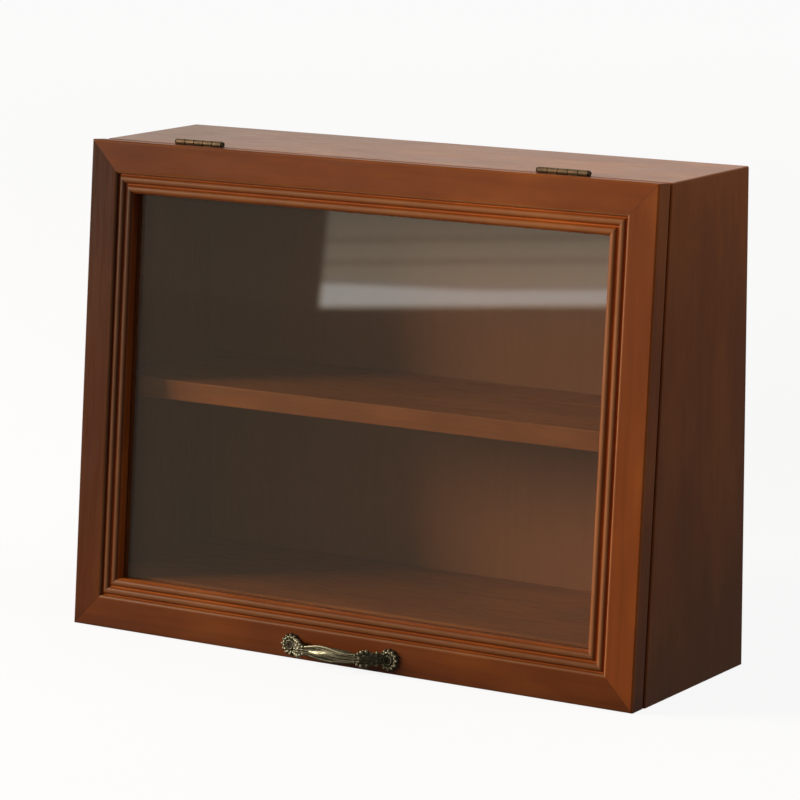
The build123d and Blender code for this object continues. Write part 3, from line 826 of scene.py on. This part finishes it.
class CABINET_OT_fittings(bpy.types.Operator):
    """Finishes the hinges, screws, shelf pins, glazing pins and bumper pads"""

    bl_idname = "cabinet.fittings"
    bl_label = "Hinges and Small Fittings"

    def execute(self, context):
        brass = aged_brass("aged_brass_hinge", 0.1)
        # Dimmed as painted shade of the countersinks; the hinge pins share this material
        dark = aged_brass("aged_brass_screw", 0.55, 0.4)
        for side in ("left", "right"):
            for part in ("hinge_cabinet_leaf", "hinge_door_leaf"):
                finish_node(side + "_" + part, brass)
            finish_node(side + "_hinge_pin", dark)
        for name in ("cabinet_leaf_screws", "door_leaf_screws", "handle_screws"):
            finish_node(name, dark)
        steel = zinc_steel("zinc_plated_steel")
        for name in ("back_panel_screws", "shelf_pins", "glazing_pins"):
            finish_node(name, steel)
        finish_node("bumper_pads", wool_felt("wool_felt"))
        return {"FINISHED"}


# The cast pull

# The rosettes in millimetres: their radius between two petals, how much further a petal reaches, and the
# edge that they keep off the door
ROSETTE_RIM_MM = 6.6
PETAL_REACH_MM = 1.2
ROSETTE_EDGE_MM = 0.35

# Where the walls of the boss, the countersink and the notches start and end, out from the centre, and
# where the groove and the rows of petals have their middle, with the width of each
BOSS_WALL_MM = (3.6, 2.9)
COUNTERSINK_WALL_MM = (2.75, 2.2)
NOTCH_WALL_MM = (5.4, ROSETTE_RIM_MM)
GROOVE_RING_MM = (3.95, 0.4)
INNER_ROW_MM = (5.0, 0.75)
OUTER_ROW_MM = (ROSETTE_RIM_MM, 0.85)

# The bow starts this far inside a rosette's centre and this deep, and its line bends at the shoulder. Its
# section, its flutes and their wave, and the veins near the rosettes follow.
BOW_FOOT_MM = 4.0
BOW_FOOT_DEPTH_MM = 0.6
BOW_SHOULDER_MM = 13.0
BOW_BEND_MM = 9.0
BOW_HALF_HEIGHT_MM = 3.9
BOW_HALF_DEPTH_MM = 1.7
FLUTES_ACROSS = 1.9
FLUTE_HEIGHT_MM = 0.42
FLUTE_WAVE_MM = 52.0
VEIN_PITCH_MM = 4.2
VEIN_HEIGHT_MM = 0.3
# The leafy stretch starts and ends over these runs from each end of the bow
LEAFY_START_MM = (6.0, 9.0)
LEAFY_END_MM = (24.0, 17.0)

# Lobes are this much larger than their listed radius and flattened by this, and strands lie on the bow
LOBE_SWELL = 1.1
LOBE_FLATNESS = 0.85
STRAND_RADIUS_MM = 0.9
STRAND_LIFT_MM = 1.35


def rosette(centre_x, petals):
    """A rosette as heights off the door over polar rings, in millimetres.

    The height is a plate plus a raised boss, less a countersink and a ring groove, plus two rows of
    petals. Each row is a bell across the radius times a cosine round the turn, and the inner row stands
    half a petal off the outer one. The rim waves with the outer row, is notched between its petals and
    rolls over. Past the rim the rings drop to the door and close behind.
    """
    plate, boss, countersink, groove = 2.1, 1.2, 1.9, 0.55
    inner_row, outer_row, notch = 0.7, 0.95, 0.9
    turn = np.linspace(0, 2 * np.pi, 260, endpoint=False)[None, :]
    share = np.linspace(0, 1, 70)[:, None]
    lobe = 0.5 + 0.5 * np.cos(petals * turn)
    inner_lobe = 0.5 + 0.5 * np.cos(petals * turn + np.pi)
    radius = share * (ROSETTE_RIM_MM + PETAL_REACH_MM * lobe**0.5)
    height = plate + boss * step(radius, *BOSS_WALL_MM) - countersink * step(radius, *COUNTERSINK_WALL_MM)
    height = height - groove * hump(radius, *GROOVE_RING_MM)
    height = height + inner_row * inner_lobe**0.7 * hump(radius, *INNER_ROW_MM)
    height = height + outer_row * lobe**0.8 * hump(radius, *OUTER_ROW_MM)
    height = height - notch * (1 - lobe) ** 2 * step(radius, *NOTCH_WALL_MM)
    rolled = height * np.sqrt(np.clip(1 - share**10, 0.0, 1))
    rolled = np.maximum(rolled, ROSETTE_EDGE_MM)
    relief = np.clip((rolled - 1.5) / 1.3, 0, 1) * step(radius, 2.3, 3.0)
    x = centre_x + radius * np.cos(turn)
    up = HANDLE_UP_MM + radius * np.sin(turn)
    front = np.stack(np.broadcast_arrays(x, -rolled, up), axis=-1)
    foot = front[-1:].copy()
    foot[..., 1] = 0.0
    middle = np.broadcast_to(np.array([centre_x, 0.0, HANDLE_UP_MM]), foot.shape)
    rings = np.concatenate((front, foot, middle))
    return door_points(rings), np.concatenate((relief, relief[-1:] * 0, relief[-1:] * 0))


def rounded_route(corners, radius, count):
    """Points at even steps along straight runs joined by arcs that touch both runs, and how far along
    each is. An arc's points are its two ends blended by sines, which keeps them on the circle."""
    route = [corners[0]]
    share = np.linspace(0, 1, 24)[:, None]
    for before, corner, after in zip(corners[:-2], corners[1:-1], corners[2:]):
        back, ahead = before - corner, after - corner
        back, ahead = back / np.linalg.norm(back), ahead / np.linalg.norm(ahead)
        half = math.acos(float(np.clip(back @ ahead, -1, 1))) / 2
        middle = back + ahead
        centre = corner + middle / np.linalg.norm(middle) * radius / math.sin(half)
        start = corner + back * radius / math.tan(half) - centre
        end = corner + ahead * radius / math.tan(half) - centre
        sweep = math.pi - 2 * half
        arc = (start * np.sin((1 - share) * sweep) + end * np.sin(share * sweep)) / math.sin(sweep)
        route.extend(centre + arc)
    route.append(corners[-1])
    route = np.array(route)
    run = np.concatenate(([0], np.cumsum(np.linalg.norm(np.diff(route, axis=0), axis=1))))
    even = np.linspace(0, run[-1], count)
    return np.stack([np.interp(even, run, route[:, i]) for i in range(2)], axis=-1), even


def bow_route():
    """The middle line of the bow, as across and depth in millimetres, with the run along it: up from one
    rosette, along at the bow's projection, and down to the other, with rounded shoulders."""
    foot, shoulder = HANDLE_PITCH_MM / 2 - BOW_FOOT_MM, HANDLE_PITCH_MM / 2 - BOW_SHOULDER_MM
    projection = bpy.context.scene.cabinet_metal.bow_projection
    low = BOW_FOOT_DEPTH_MM
    corners = np.array([(-foot, low), (-shoulder, -projection), (shoulder, -projection), (foot, low)])
    return rounded_route(corners, BOW_BEND_MM, 380)


def bow():
    """The bow as flat ovals carried along its route.

    Each oval's half height and half depth swell by bells about the middle. Flutes are a cosine round the
    oval, shifted along the bow in a slow wave. Near each rosette the edges are scalloped and slanting
    veins take the flutes' place, both cosines along the run. At the ends the ovals close.
    """
    route, run = bow_route()
    around = np.linspace(0, 2 * np.pi, 160, endpoint=False)[None, :]
    along = np.gradient(route, axis=0)
    along = along / np.linalg.norm(along, axis=1, keepdims=True)
    outward = np.stack((along[:, 1], -along[:, 0]), axis=-1)
    x = route[:, :1]
    from_end = np.minimum(run, run[-1] - run)[:, None]
    leafy = step(from_end, *LEAFY_START_MM) * step(from_end, *LEAFY_END_MM)
    scallop = (0.5 + 0.5 * np.cos(2 * np.pi * (from_end - 3.0) / VEIN_PITCH_MM)) * leafy
    waist = 0.7 * hump(x, 0, 14.0) - 0.6 * hump(np.abs(x), 19.0, 4.0)
    half_height = BOW_HALF_HEIGHT_MM + 0.5 * scallop + waist
    half_depth = BOW_HALF_DEPTH_MM + 0.3 * leafy + 0.3 * hump(x, 0, 12.0)
    side = np.sin(around)
    front = np.clip(np.cos(around), 0, 1)
    wave = side * (1.0 + 0.25 * leafy) + 0.22 * np.sin(2 * np.pi * x / FLUTE_WAVE_MM)
    flute = np.cos(2 * np.pi * FLUTES_ACROSS * wave) * front**0.5
    vein = np.cos(2 * np.pi * (from_end / VEIN_PITCH_MM - 0.55 * np.abs(side))) * leafy * front**0.5
    lift = FLUTE_HEIGHT_MM * flute * (1 - 0.5 * leafy) + VEIN_HEIGHT_MM * vein
    closing = np.sqrt(np.clip(from_end / 1.2, 0, 1))
    out = (half_depth * np.cos(around) + lift) * closing
    up = half_height * side * closing
    across = route[:, None, 0] + out * outward[:, None, 0]
    depth = route[:, None, 1] + out * outward[:, None, 1]
    rings = np.stack((across, depth, HANDLE_UP_MM + up), axis=-1)
    relief = np.clip(0.36 + 0.3 * flute + 0.26 * vein, 0, 1) * (0.3 + 0.7 * front)
    # Painted shade: the right half and the lower side are darker
    relief = relief * (1 - 0.45 * step(x, 2, 16)) * (1 - 0.55 * step(-side, 0.1, 0.8))
    return door_points(rings), relief


def berry(x, up, depth, radius, shine_and_shade):
    """A small round lobe: circles between two poles, a little flattened towards the door. The last argument
    says how far it is rubbed bright, and it is lowered where it paints shade."""
    polar = np.linspace(0, np.pi, 14)[:, None]
    around = np.linspace(0, 2 * np.pi, 20, endpoint=False)[None, :]
    rings_x = x + radius * np.sin(polar) * np.cos(around)
    rings_up = HANDLE_UP_MM + up + radius * np.sin(polar) * np.sin(around)
    rings_depth = depth - LOBE_FLATNESS * radius * np.cos(polar) + 0 * around
    relief = 0.4 + 0.3 * np.cos(polar) + 0.12 * np.sin(polar) * np.sin(around + 0.8)
    return door_points(np.stack((rings_x, rings_depth, rings_up), axis=-1)), np.clip(relief, 0, 1) * shine_and_shade


def foliage(side):
    """The leaf cluster where the bow leaves the left rosette, at side -1, or the right one, at side 1:
    lobes round two small hollows, set along the bow's line."""
    route, _ = bow_route()
    # Out from the pull's middle, up from its centreline, and radius, in millimetres
    lobes = (
        (30.2, 3.6, 1.5), (28.2, 5.0, 1.6), (25.6, 4.6, 1.5), (23.4, 3.4, 1.3), (27.0, 2.2, 1.1),
        (30.4, -2.4, 1.4), (28.4, -4.2, 1.6), (25.6, -4.4, 1.5), (23.0, -3.6, 1.2), (24.6, 0.4, 1.4),
        (21.2, 2.2, 1.1), (20.8, -2.4, 1.0), (29.8, 0.6, 1.3), (32.0, 2.0, 1.6), (32.2, -1.0, 1.6),
        (32.6, 4.0, 1.3), (32.4, -3.6, 1.4), (34.0, 0.8, 1.3),
    )
    # Painted shade: the lobes on the right are darker
    shine_and_shade = 1.0 if side < 0 else 0.75
    for x, up, radius in lobes:
        line_depth = float(np.interp(-x, route[:, 0], route[:, 1]))
        depth = line_depth - 1.4 + 0.12 * abs(up)
        yield berry(side * x, up, depth, LOBE_SWELL * radius, shine_and_shade)


def leaf(centre_x, half_length, half_height, base_depth, bulge, bend):
    """A pointed leaf as ellipses along its length, whose width is a power of one less the square of the
    way along. It bulges towards the front, its line bends as a sine, and a rib, which is a bell, and
    slanting veins, which are a cosine, stand on it."""
    share = np.linspace(-1, 1, 90)[:, None]
    around = np.linspace(0, 2 * np.pi, 80, endpoint=False)[None, :]
    width = np.clip(1 - share**2, 0, 1) ** 0.75
    side = np.cos(around)
    front = np.clip(np.sin(around), 0, 1)
    rib = hump(side, 0, 0.13) * front
    vein = np.cos(7 * np.pi * (np.abs(side) * 0.35 - share * 0.5)) * front * (1 - hump(side, 0, 0.2))
    x = centre_x + half_length * share + 0 * around
    up = HANDLE_UP_MM + half_height * width * side + bend * np.sin(np.pi * share)
    thickness = bulge * np.sin(around) * np.where(np.sin(around) > 0, 1.0, 0.4)
    depth = -base_depth - width * (thickness + 0.25 * rib + 0.08 * vein)
    relief = np.clip(0.85 + 0.3 * rib + 0.15 * vein, 0, 1) * (0.5 + 0.5 * front) * np.ones_like(x)
    return door_points(np.stack((x, depth, up), axis=-1)), relief


def ribbon(start_x, end_x, heights, projection, shine_and_shade):
    """A strand laid over the bow: circles carried along a smooth line through heights at even steps,
    thinner at its ends. The last argument says how far it is rubbed bright, and it is lowered where it
    paints shade; the strand also darkens to the right as painted shade."""
    share = np.linspace(0, 1, 200)
    around = np.linspace(0, 2 * np.pi, 28, endpoint=False)[None, :]
    knots = np.linspace(0, 1, len(heights))
    line = np.polynomial.Polynomial.fit(knots, heights, min(5, len(heights) - 1))
    smooth = line(share)[:, None]
    share = share[:, None]
    x = start_x + (end_x - start_x) * share
    radius = STRAND_RADIUS_MM * np.sqrt(np.clip(1 - (2 * share - 1) ** 2, 0, 1)) ** 0.5
    up = HANDLE_UP_MM + smooth + radius * np.sin(around)
    depth = -projection - STRAND_LIFT_MM - radius * np.cos(around)
    relief = np.clip(0.6 + 0.4 * np.cos(around), 0, 1) * shine_and_shade * (1 - 0.5 * step(x, 0, 18))
    return door_points(np.stack(np.broadcast_arrays(x, depth, up), axis=-1)), relief


class CABINET_OT_rosettes(bpy.types.Operator):
    """Makes the two rosettes of the pull"""

    bl_idname = "cabinet.rosettes"
    bl_label = "Pull Rosettes"

    def execute(self, context):
        petals = context.scene.cabinet_metal.petals
        half = HANDLE_PITCH_MM / 2
        made = shells_object("pull_rosettes", [rosette(x, petals) for x in (-half, half)])
        made.data.materials.append(antique_bronze("antique_bronze_rosettes"))
        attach(made, "door")
        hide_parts("door_handle")
        return {"FINISHED"}


class CABINET_OT_bow(bpy.types.Operator):
    """Makes the leafy bow of the pull"""

    bl_idname = "cabinet.bow"
    bl_label = "Pull Bow"

    def execute(self, context):
        projection = context.scene.cabinet_metal.bow_projection
        # The heights of the two strands above the pull's centreline, in millimetres
        upper_strand = (2.6, 3.8, 4.4, 3.9, 2.6, 2.2, 2.8)
        lower_strand = (-2.0, -2.8, -3.8, -4.4, -4.0, -3.4, -2.8)
        leaf_sizes = {"half_length": 12.0, "half_height": 2.5, "bulge": 1.7, "bend": 0.5}
        shells = [
            bow(),
            leaf(centre_x=-4.5, base_depth=projection + 1.2, **leaf_sizes),
            ribbon(-20.0, 21.0, upper_strand, projection, 0.95),
            # The lower strand is given less brightness, as painted shade on the underside
            ribbon(-21.0, 20.0, lower_strand, projection, 0.4),
            *foliage(-1),
            *foliage(1),
        ]
        made = shells_object("pull_bow", shells)
        made.data.materials.append(antique_bronze("antique_bronze_bow"))
        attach(made, "door")
        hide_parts("door_handle")
        return {"FINISHED"}


# Floor, light and camera

# Places and sizes in metres
FLOOR_REACH = 12.0
LIGHT_TARGET = (0.0, 0.0, 0.17)
KEY_PLACE = (-3.05, -1.63, 1.16)
KEY_SIZE = (1.5, 1.1)
FILL_PLACE = (0.85, 0.1, 1.15)
FILL_SIZE = (0.6, 0.6)

# How bright reflections see the paper floor, against the room, and which way is behind the cabinet
MIRRORED_FLOOR = 0.9
REAR_DIRECTION = (-0.5, 0.83, 0.25)

# The shade card stands this share of the way from the shaded corner to the key light. Its lower and
# upper edges and its two ends are given from there.
SHADED_CORNER = (-0.225, -0.02, 0.34)
SHADE_CARD_SHARE = 0.25
SHADE_CARD_DROP = 0.14
SHADE_CARD_RISE = 0.5
SHADE_CARD_INNER = 0.04
SHADE_CARD_OUTER = 0.7

# The card that the glass mirrors: two points on its line, its length against the way between them, and
# its lower and upper edges
CARD_LEFT = (-0.920, -1.360)
CARD_RIGHT = (-0.613, -1.419)
CARD_STRETCH = 1.4
CARD_HEIGHTS = (0.19, 0.46)

# The line that the card's bright foot stands on and how far it climbs, the foot's height at the left and
# on the right, and two darker bands above that line
CARD_FOOT = 0.206
CARD_CLIMB = 0.042
CARD_FOOT_HEIGHTS = (0.042, 0.034)
CARD_BANDS = (0.055, 0.08)
CARD_BAND_REACH = 0.008
CARD_SOFT_EDGE = 0.012

# The strength of the card above its foot, at the left and at the right, against the foot's
CARD_UPPER_SHARES = (0.42, 0.54)

# The camera as fitted to the photographed edges
SENSOR_WIDTH_MM = 36.0
CAMERA_PLACE = (1.3562, -2.0926, 0.6408)
CAMERA_RIGHT = (0.85025, 0.52638, 0.00281)
CAMERA_FORWARD = (-0.51882, 0.83891, -0.16447)
CAMERA_SHIFT = (-0.09013, -0.09645)


def quad_object(name, corners):
    """A flat quad from four corners in order."""
    mesh = bpy.data.meshes.new(name)
    mesh.from_pydata(corners, [], [(0, 1, 2, 3)])
    return new_object(name, mesh)


def ray_kinds(tree):
    """Which rays see the pale background, and which, mirrored on the way, see the dim room."""
    path = add_node(tree, "ShaderNodeLightPath").outputs
    mirrored = math_node(tree, "GREATER_THAN", path["Glossy Depth"], 0.5)
    straight = math_node(tree, "SUBTRACT", path["Is Transmission Ray"], mirrored, clamp=True)
    pale = math_node(tree, "MAXIMUM", path["Is Camera Ray"], straight)
    inside = times(tree, path["Is Transmission Ray"], mirrored)
    return pale, math_node(tree, "MAXIMUM", path["Is Glossy Ray"], inside)


def pale_floor(name, colour, room):
    """Matt paper. The camera sees its own pale colour, dimmed where the cabinet's shadow falls, and
    reflections see it about as dim as the room."""
    material, tree, shader = new_material(name, **{"Base Color": linear("#57544F"), "Roughness": 0.9})
    pale, mirrored = ray_kinds(tree)
    away = add_node(tree, "ShaderNodeVectorMath", {0: object_place(tree)}, operation="LENGTH")
    # Far from the lamps the paper's own colour makes up for the light that it lacks there
    own = ramp_value(tree, away.outputs["Value"], 0.8, 5.0, 0.93, 0.98)
    glow = add_node(tree, "ShaderNodeEmission", {"Color": colour, "Strength": own})
    soft = add_node(tree, "ShaderNodeBsdfDiffuse", {"Color": linear("#626262")})
    both = add_node(tree, "ShaderNodeAddShader", {0: glow.outputs[0], 1: soft.outputs[0]})
    dim = add_node(tree, "ShaderNodeEmission", {"Color": room, "Strength": MIRRORED_FLOOR})
    other = mix_shaders(tree, mirrored, shader.outputs[0], dim.outputs[0])
    replace_surface(tree, mix_shaders(tree, pale, other, both.outputs[0]))
    return material


def set_world(ambient, colour, room):
    """Even light from all round. The camera and transmitted rays see the pale background. Reflections see
    a warmer pale one behind the cabinet and the dim room in front."""
    world = bpy.data.worlds.new("studio")
    bpy.context.scene.world = world
    world.use_nodes = True
    tree = world.node_tree
    tree.nodes.clear()
    seen, reflected = ray_kinds(tree)
    direction = add_node(tree, "ShaderNodeTexCoord").outputs["Generated"]
    inputs = {0: direction, 1: REAR_DIRECTION}
    rear = add_node(tree, "ShaderNodeVectorMath", inputs, operation="DOT_PRODUCT").outputs["Value"]
    mirrored = mix_colours(tree, ramp_value(tree, rear, 0.45, 0.85), room, linear("#FCF7EA"))
    mirrored = add_node(tree, "ShaderNodeBackground", {"Color": mirrored, "Strength": 1.0})
    light = add_node(tree, "ShaderNodeBackground", {"Color": linear("#FFFBF6"), "Strength": ambient})
    pale = add_node(tree, "ShaderNodeBackground", {"Color": colour, "Strength": 1.0})
    other = mix_shaders(tree, reflected, light.outputs[0], mirrored.outputs[0])
    mixed = mix_shaders(tree, seen, other, pale.outputs[0])
    add_node(tree, "ShaderNodeOutputWorld", {"Surface": mixed})


def hide_from(card, *rays):
    """Makes a card unseen by some kinds of rays."""
    for ray in rays:
        setattr(card, "visible_" + ray, False)


def shade_card(key_place):
    """A card between the key light and the cabinet's upper left corner, whose soft shadow dims that
    corner. Only light meets it."""
    corner = np.array(SHADED_CORNER)
    towards = np.array(key_place) - corner
    middle = corner + SHADE_CARD_SHARE * towards
    side = np.cross((0, 0, 1), -towards)
    side = side / np.linalg.norm(side)
    low, high = middle[2] - SHADE_CARD_DROP, middle[2] + SHADE_CARD_RISE
    inner = middle[:2] - SHADE_CARD_INNER * side[:2]
    outer = middle[:2] + SHADE_CARD_OUTER * side[:2]
    card = quad_object("shade_card", [(*inner, low), (*outer, low), (*outer, high), (*inner, high)])
    black = {"Base Color": linear("#0A0A0A"), "Roughness": 0.9}
    card.data.materials.append(new_material("black_card", **black)[0])
    hide_from(card, "camera", "diffuse", "glossy", "transmission")


def lit_paper(power, left_x, right_x):
    """Translucent paper lit from behind: bright along its foot, which climbs to the right, and dimmer
    above, where it brightens to the right and has two soft darker bands. Elsewhere it is clear."""
    material, tree = empty_material("lit_paper_card")
    x, _, z = parts_of(tree, object_place(tree))
    run = math_node(tree, "DIVIDE", math_node(tree, "SUBTRACT", x, left_x), right_x - left_x)
    foot_line = math_node(tree, "MULTIPLY_ADD", run, CARD_CLIMB, CARD_FOOT)
    level = math_node(tree, "SUBTRACT", z, foot_line)
    rise = ramp_value(tree, level, 0.0, CARD_SOFT_EDGE)
    side = ramp_value(tree, run, 0.0, 0.03)
    crown = ramp_value(tree, run, 0.0, 0.5, *CARD_FOOT_HEIGHTS)
    below_crown = math_node(tree, "SUBTRACT", crown, level)
    foot = times(tree, rise, ramp_value(tree, below_crown, 0.0, 0.016), side)
    along = ramp_value(tree, run, 0.0, 1.0, *CARD_UPPER_SHARES)
    upper = times(tree, along, rise, ramp_value(tree, level, 0.13, 0.03, 0.55, 1.0))
    for middle in CARD_BANDS:
        band = ramp_value(tree, apart(tree, level, middle), 0.0, CARD_BAND_REACH, 0.75, 1.0)
        upper = times(tree, upper, band)
    strength = times(tree, math_node(tree, "MAXIMUM", foot, times(tree, upper, side)), power)
    colour = mix_colours(tree, foot, linear("#FFEFD2"), linear("#FBF8F2"))
    glow = add_node(tree, "ShaderNodeEmission", {"Color": colour, "Strength": strength})
    clear = add_node(tree, "ShaderNodeBsdfTransparent")
    both = add_node(tree, "ShaderNodeAddShader", {0: glow.outputs[0], 1: clear.outputs[0]})
    add_node(tree, "ShaderNodeOutputMaterial", {"Surface": both.outputs[0]})
    return material


def glass_card(power):
    """A tall bright card beside the camera that only reflections see."""
    left, right = np.array(CARD_LEFT), np.array(CARD_RIGHT)
    right = left + (right - left) * CARD_STRETCH
    low, high = CARD_HEIGHTS
    card = quad_object("glass_card", [(*left, low), (*right, low), (*right, high), (*left, high)])
    card.data.materials.append(lit_paper(power, float(left[0]), float(right[0])))
    hide_from(card, "camera", "diffuse", "transmission", "shadow")


def axes_matrix(side, up, back, place):
    """The matrix of an object with these axes at a place."""
    matrix = Matrix.Identity(4)
    for row in range(3):
        matrix[row][0] = side[row]
        matrix[row][1] = up[row]
        matrix[row][2] = back[row]
        matrix[row][3] = place[row]
    return matrix


def aim(place, target):
    """The matrix of a lamp at a place that shines at a target."""
    back = np.array(place, float) - np.array(target, float)
    back = back / np.linalg.norm(back)
    side = np.cross((0, 0, 1), back)
    side = side / np.linalg.norm(side)
    return axes_matrix(side, np.cross(back, side), back, place)


def soft_light(name, place, target, size, power):
    """A rectangular soft light."""
    data = bpy.data.lights.new(name, "AREA")
    data.shape = "RECTANGLE"
    data.size, data.size_y = size
    data.energy = power
    data.spread = math.pi
    made = new_object(name, data)
    made.matrix_world = aim(place, target)
    return made


def set_camera(lens):
    """The photograph's viewpoint, right of the front and a little above, with its axes squared up."""
    data = bpy.data.cameras.new("camera")
    data.sensor_width = SENSOR_WIDTH_MM
    data.lens = lens
    data.shift_x, data.shift_y = CAMERA_SHIFT
    made = new_object("camera", data)
    forward = np.array(CAMERA_FORWARD)
    forward = forward / np.linalg.norm(forward)
    right = np.array(CAMERA_RIGHT)
    right = right - forward * (right @ forward)
    right = right / np.linalg.norm(right)
    made.matrix_world = axes_matrix(right, np.cross(right, forward), -forward, CAMERA_PLACE)
    bpy.context.scene.camera = made


class CABINET_OT_stage(bpy.types.Operator):
    """Makes the floor, the lights and the camera"""

    bl_idname = "cabinet.stage"
    bl_label = "Floor, Light and Camera"

    def execute(self, context):
        stage = context.scene.cabinet_stage
        far = FLOOR_REACH
        floor = quad_object("floor", [(-far, -far, 0), (far, -far, 0), (far, far, 0), (-far, far, 0)])
        floor.data.materials.append(pale_floor("paper_floor", stage.background, stage.room))
        set_world(stage.ambient, stage.background, stage.room)
        key = soft_light("key_light", KEY_PLACE, LIGHT_TARGET, KEY_SIZE, stage.key_power)
        key.data.color = linear("#FFF1DF")[:3]
        soft_light("top_light", FILL_PLACE, LIGHT_TARGET, FILL_SIZE, stage.fill_power)
        shade_card(KEY_PLACE)
        glass_card(stage.card_power)
        set_camera(stage.lens)
        context.scene.view_settings.view_transform = "Standard"
        return {"FINISHED"}


class CABINET_PT_looks(bpy.types.Panel):
    """Lists the steps that dress the cabinet"""

    bl_idname = "CABINET_PT_looks"
    bl_label = "Display Cabinet"
    bl_space_type = "VIEW_3D"
    bl_region_type = "UI"
    bl_category = "Cabinet"

    def draw(self, context):
        for step_class in STEPS:
            self.layout.operator(step_class.bl_idname)


GROUPS = {"cabinet_wood": CabinetWood, "cabinet_metal": CabinetMetal, "cabinet_stage": CabinetStage}
STEPS = (
    CABINET_OT_case,
    CABINET_OT_door_frame,
    CABINET_OT_glass,
    CABINET_OT_fittings,
    CABINET_OT_rosettes,
    CABINET_OT_bow,
    CABINET_OT_stage,
)


def register():
    """Adds the classes and the settings to Blender."""
    for part in (*GROUPS.values(), *STEPS, CABINET_PT_looks):
        bpy.utils.register_class(part)
    for name, group in GROUPS.items():
        setattr(bpy.types.Scene, name, bpy.props.PointerProperty(type=group))


def unregister():
    """Takes them away again."""
    for name in GROUPS:
        delattr(bpy.types.Scene, name)
    for part in reversed((*GROUPS.values(), *STEPS, CABINET_PT_looks)):
        bpy.utils.unregister_class(part)


def main():
    """Registers the add-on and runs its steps."""
    register()
    bpy.ops.cabinet.case()
    bpy.ops.cabinet.door_frame()
    bpy.ops.cabinet.glass()
    bpy.ops.cabinet.fittings()
    bpy.ops.cabinet.rosettes()
    bpy.ops.cabinet.bow()
    bpy.ops.cabinet.stage()


if __name__ == "__main__":
    main()
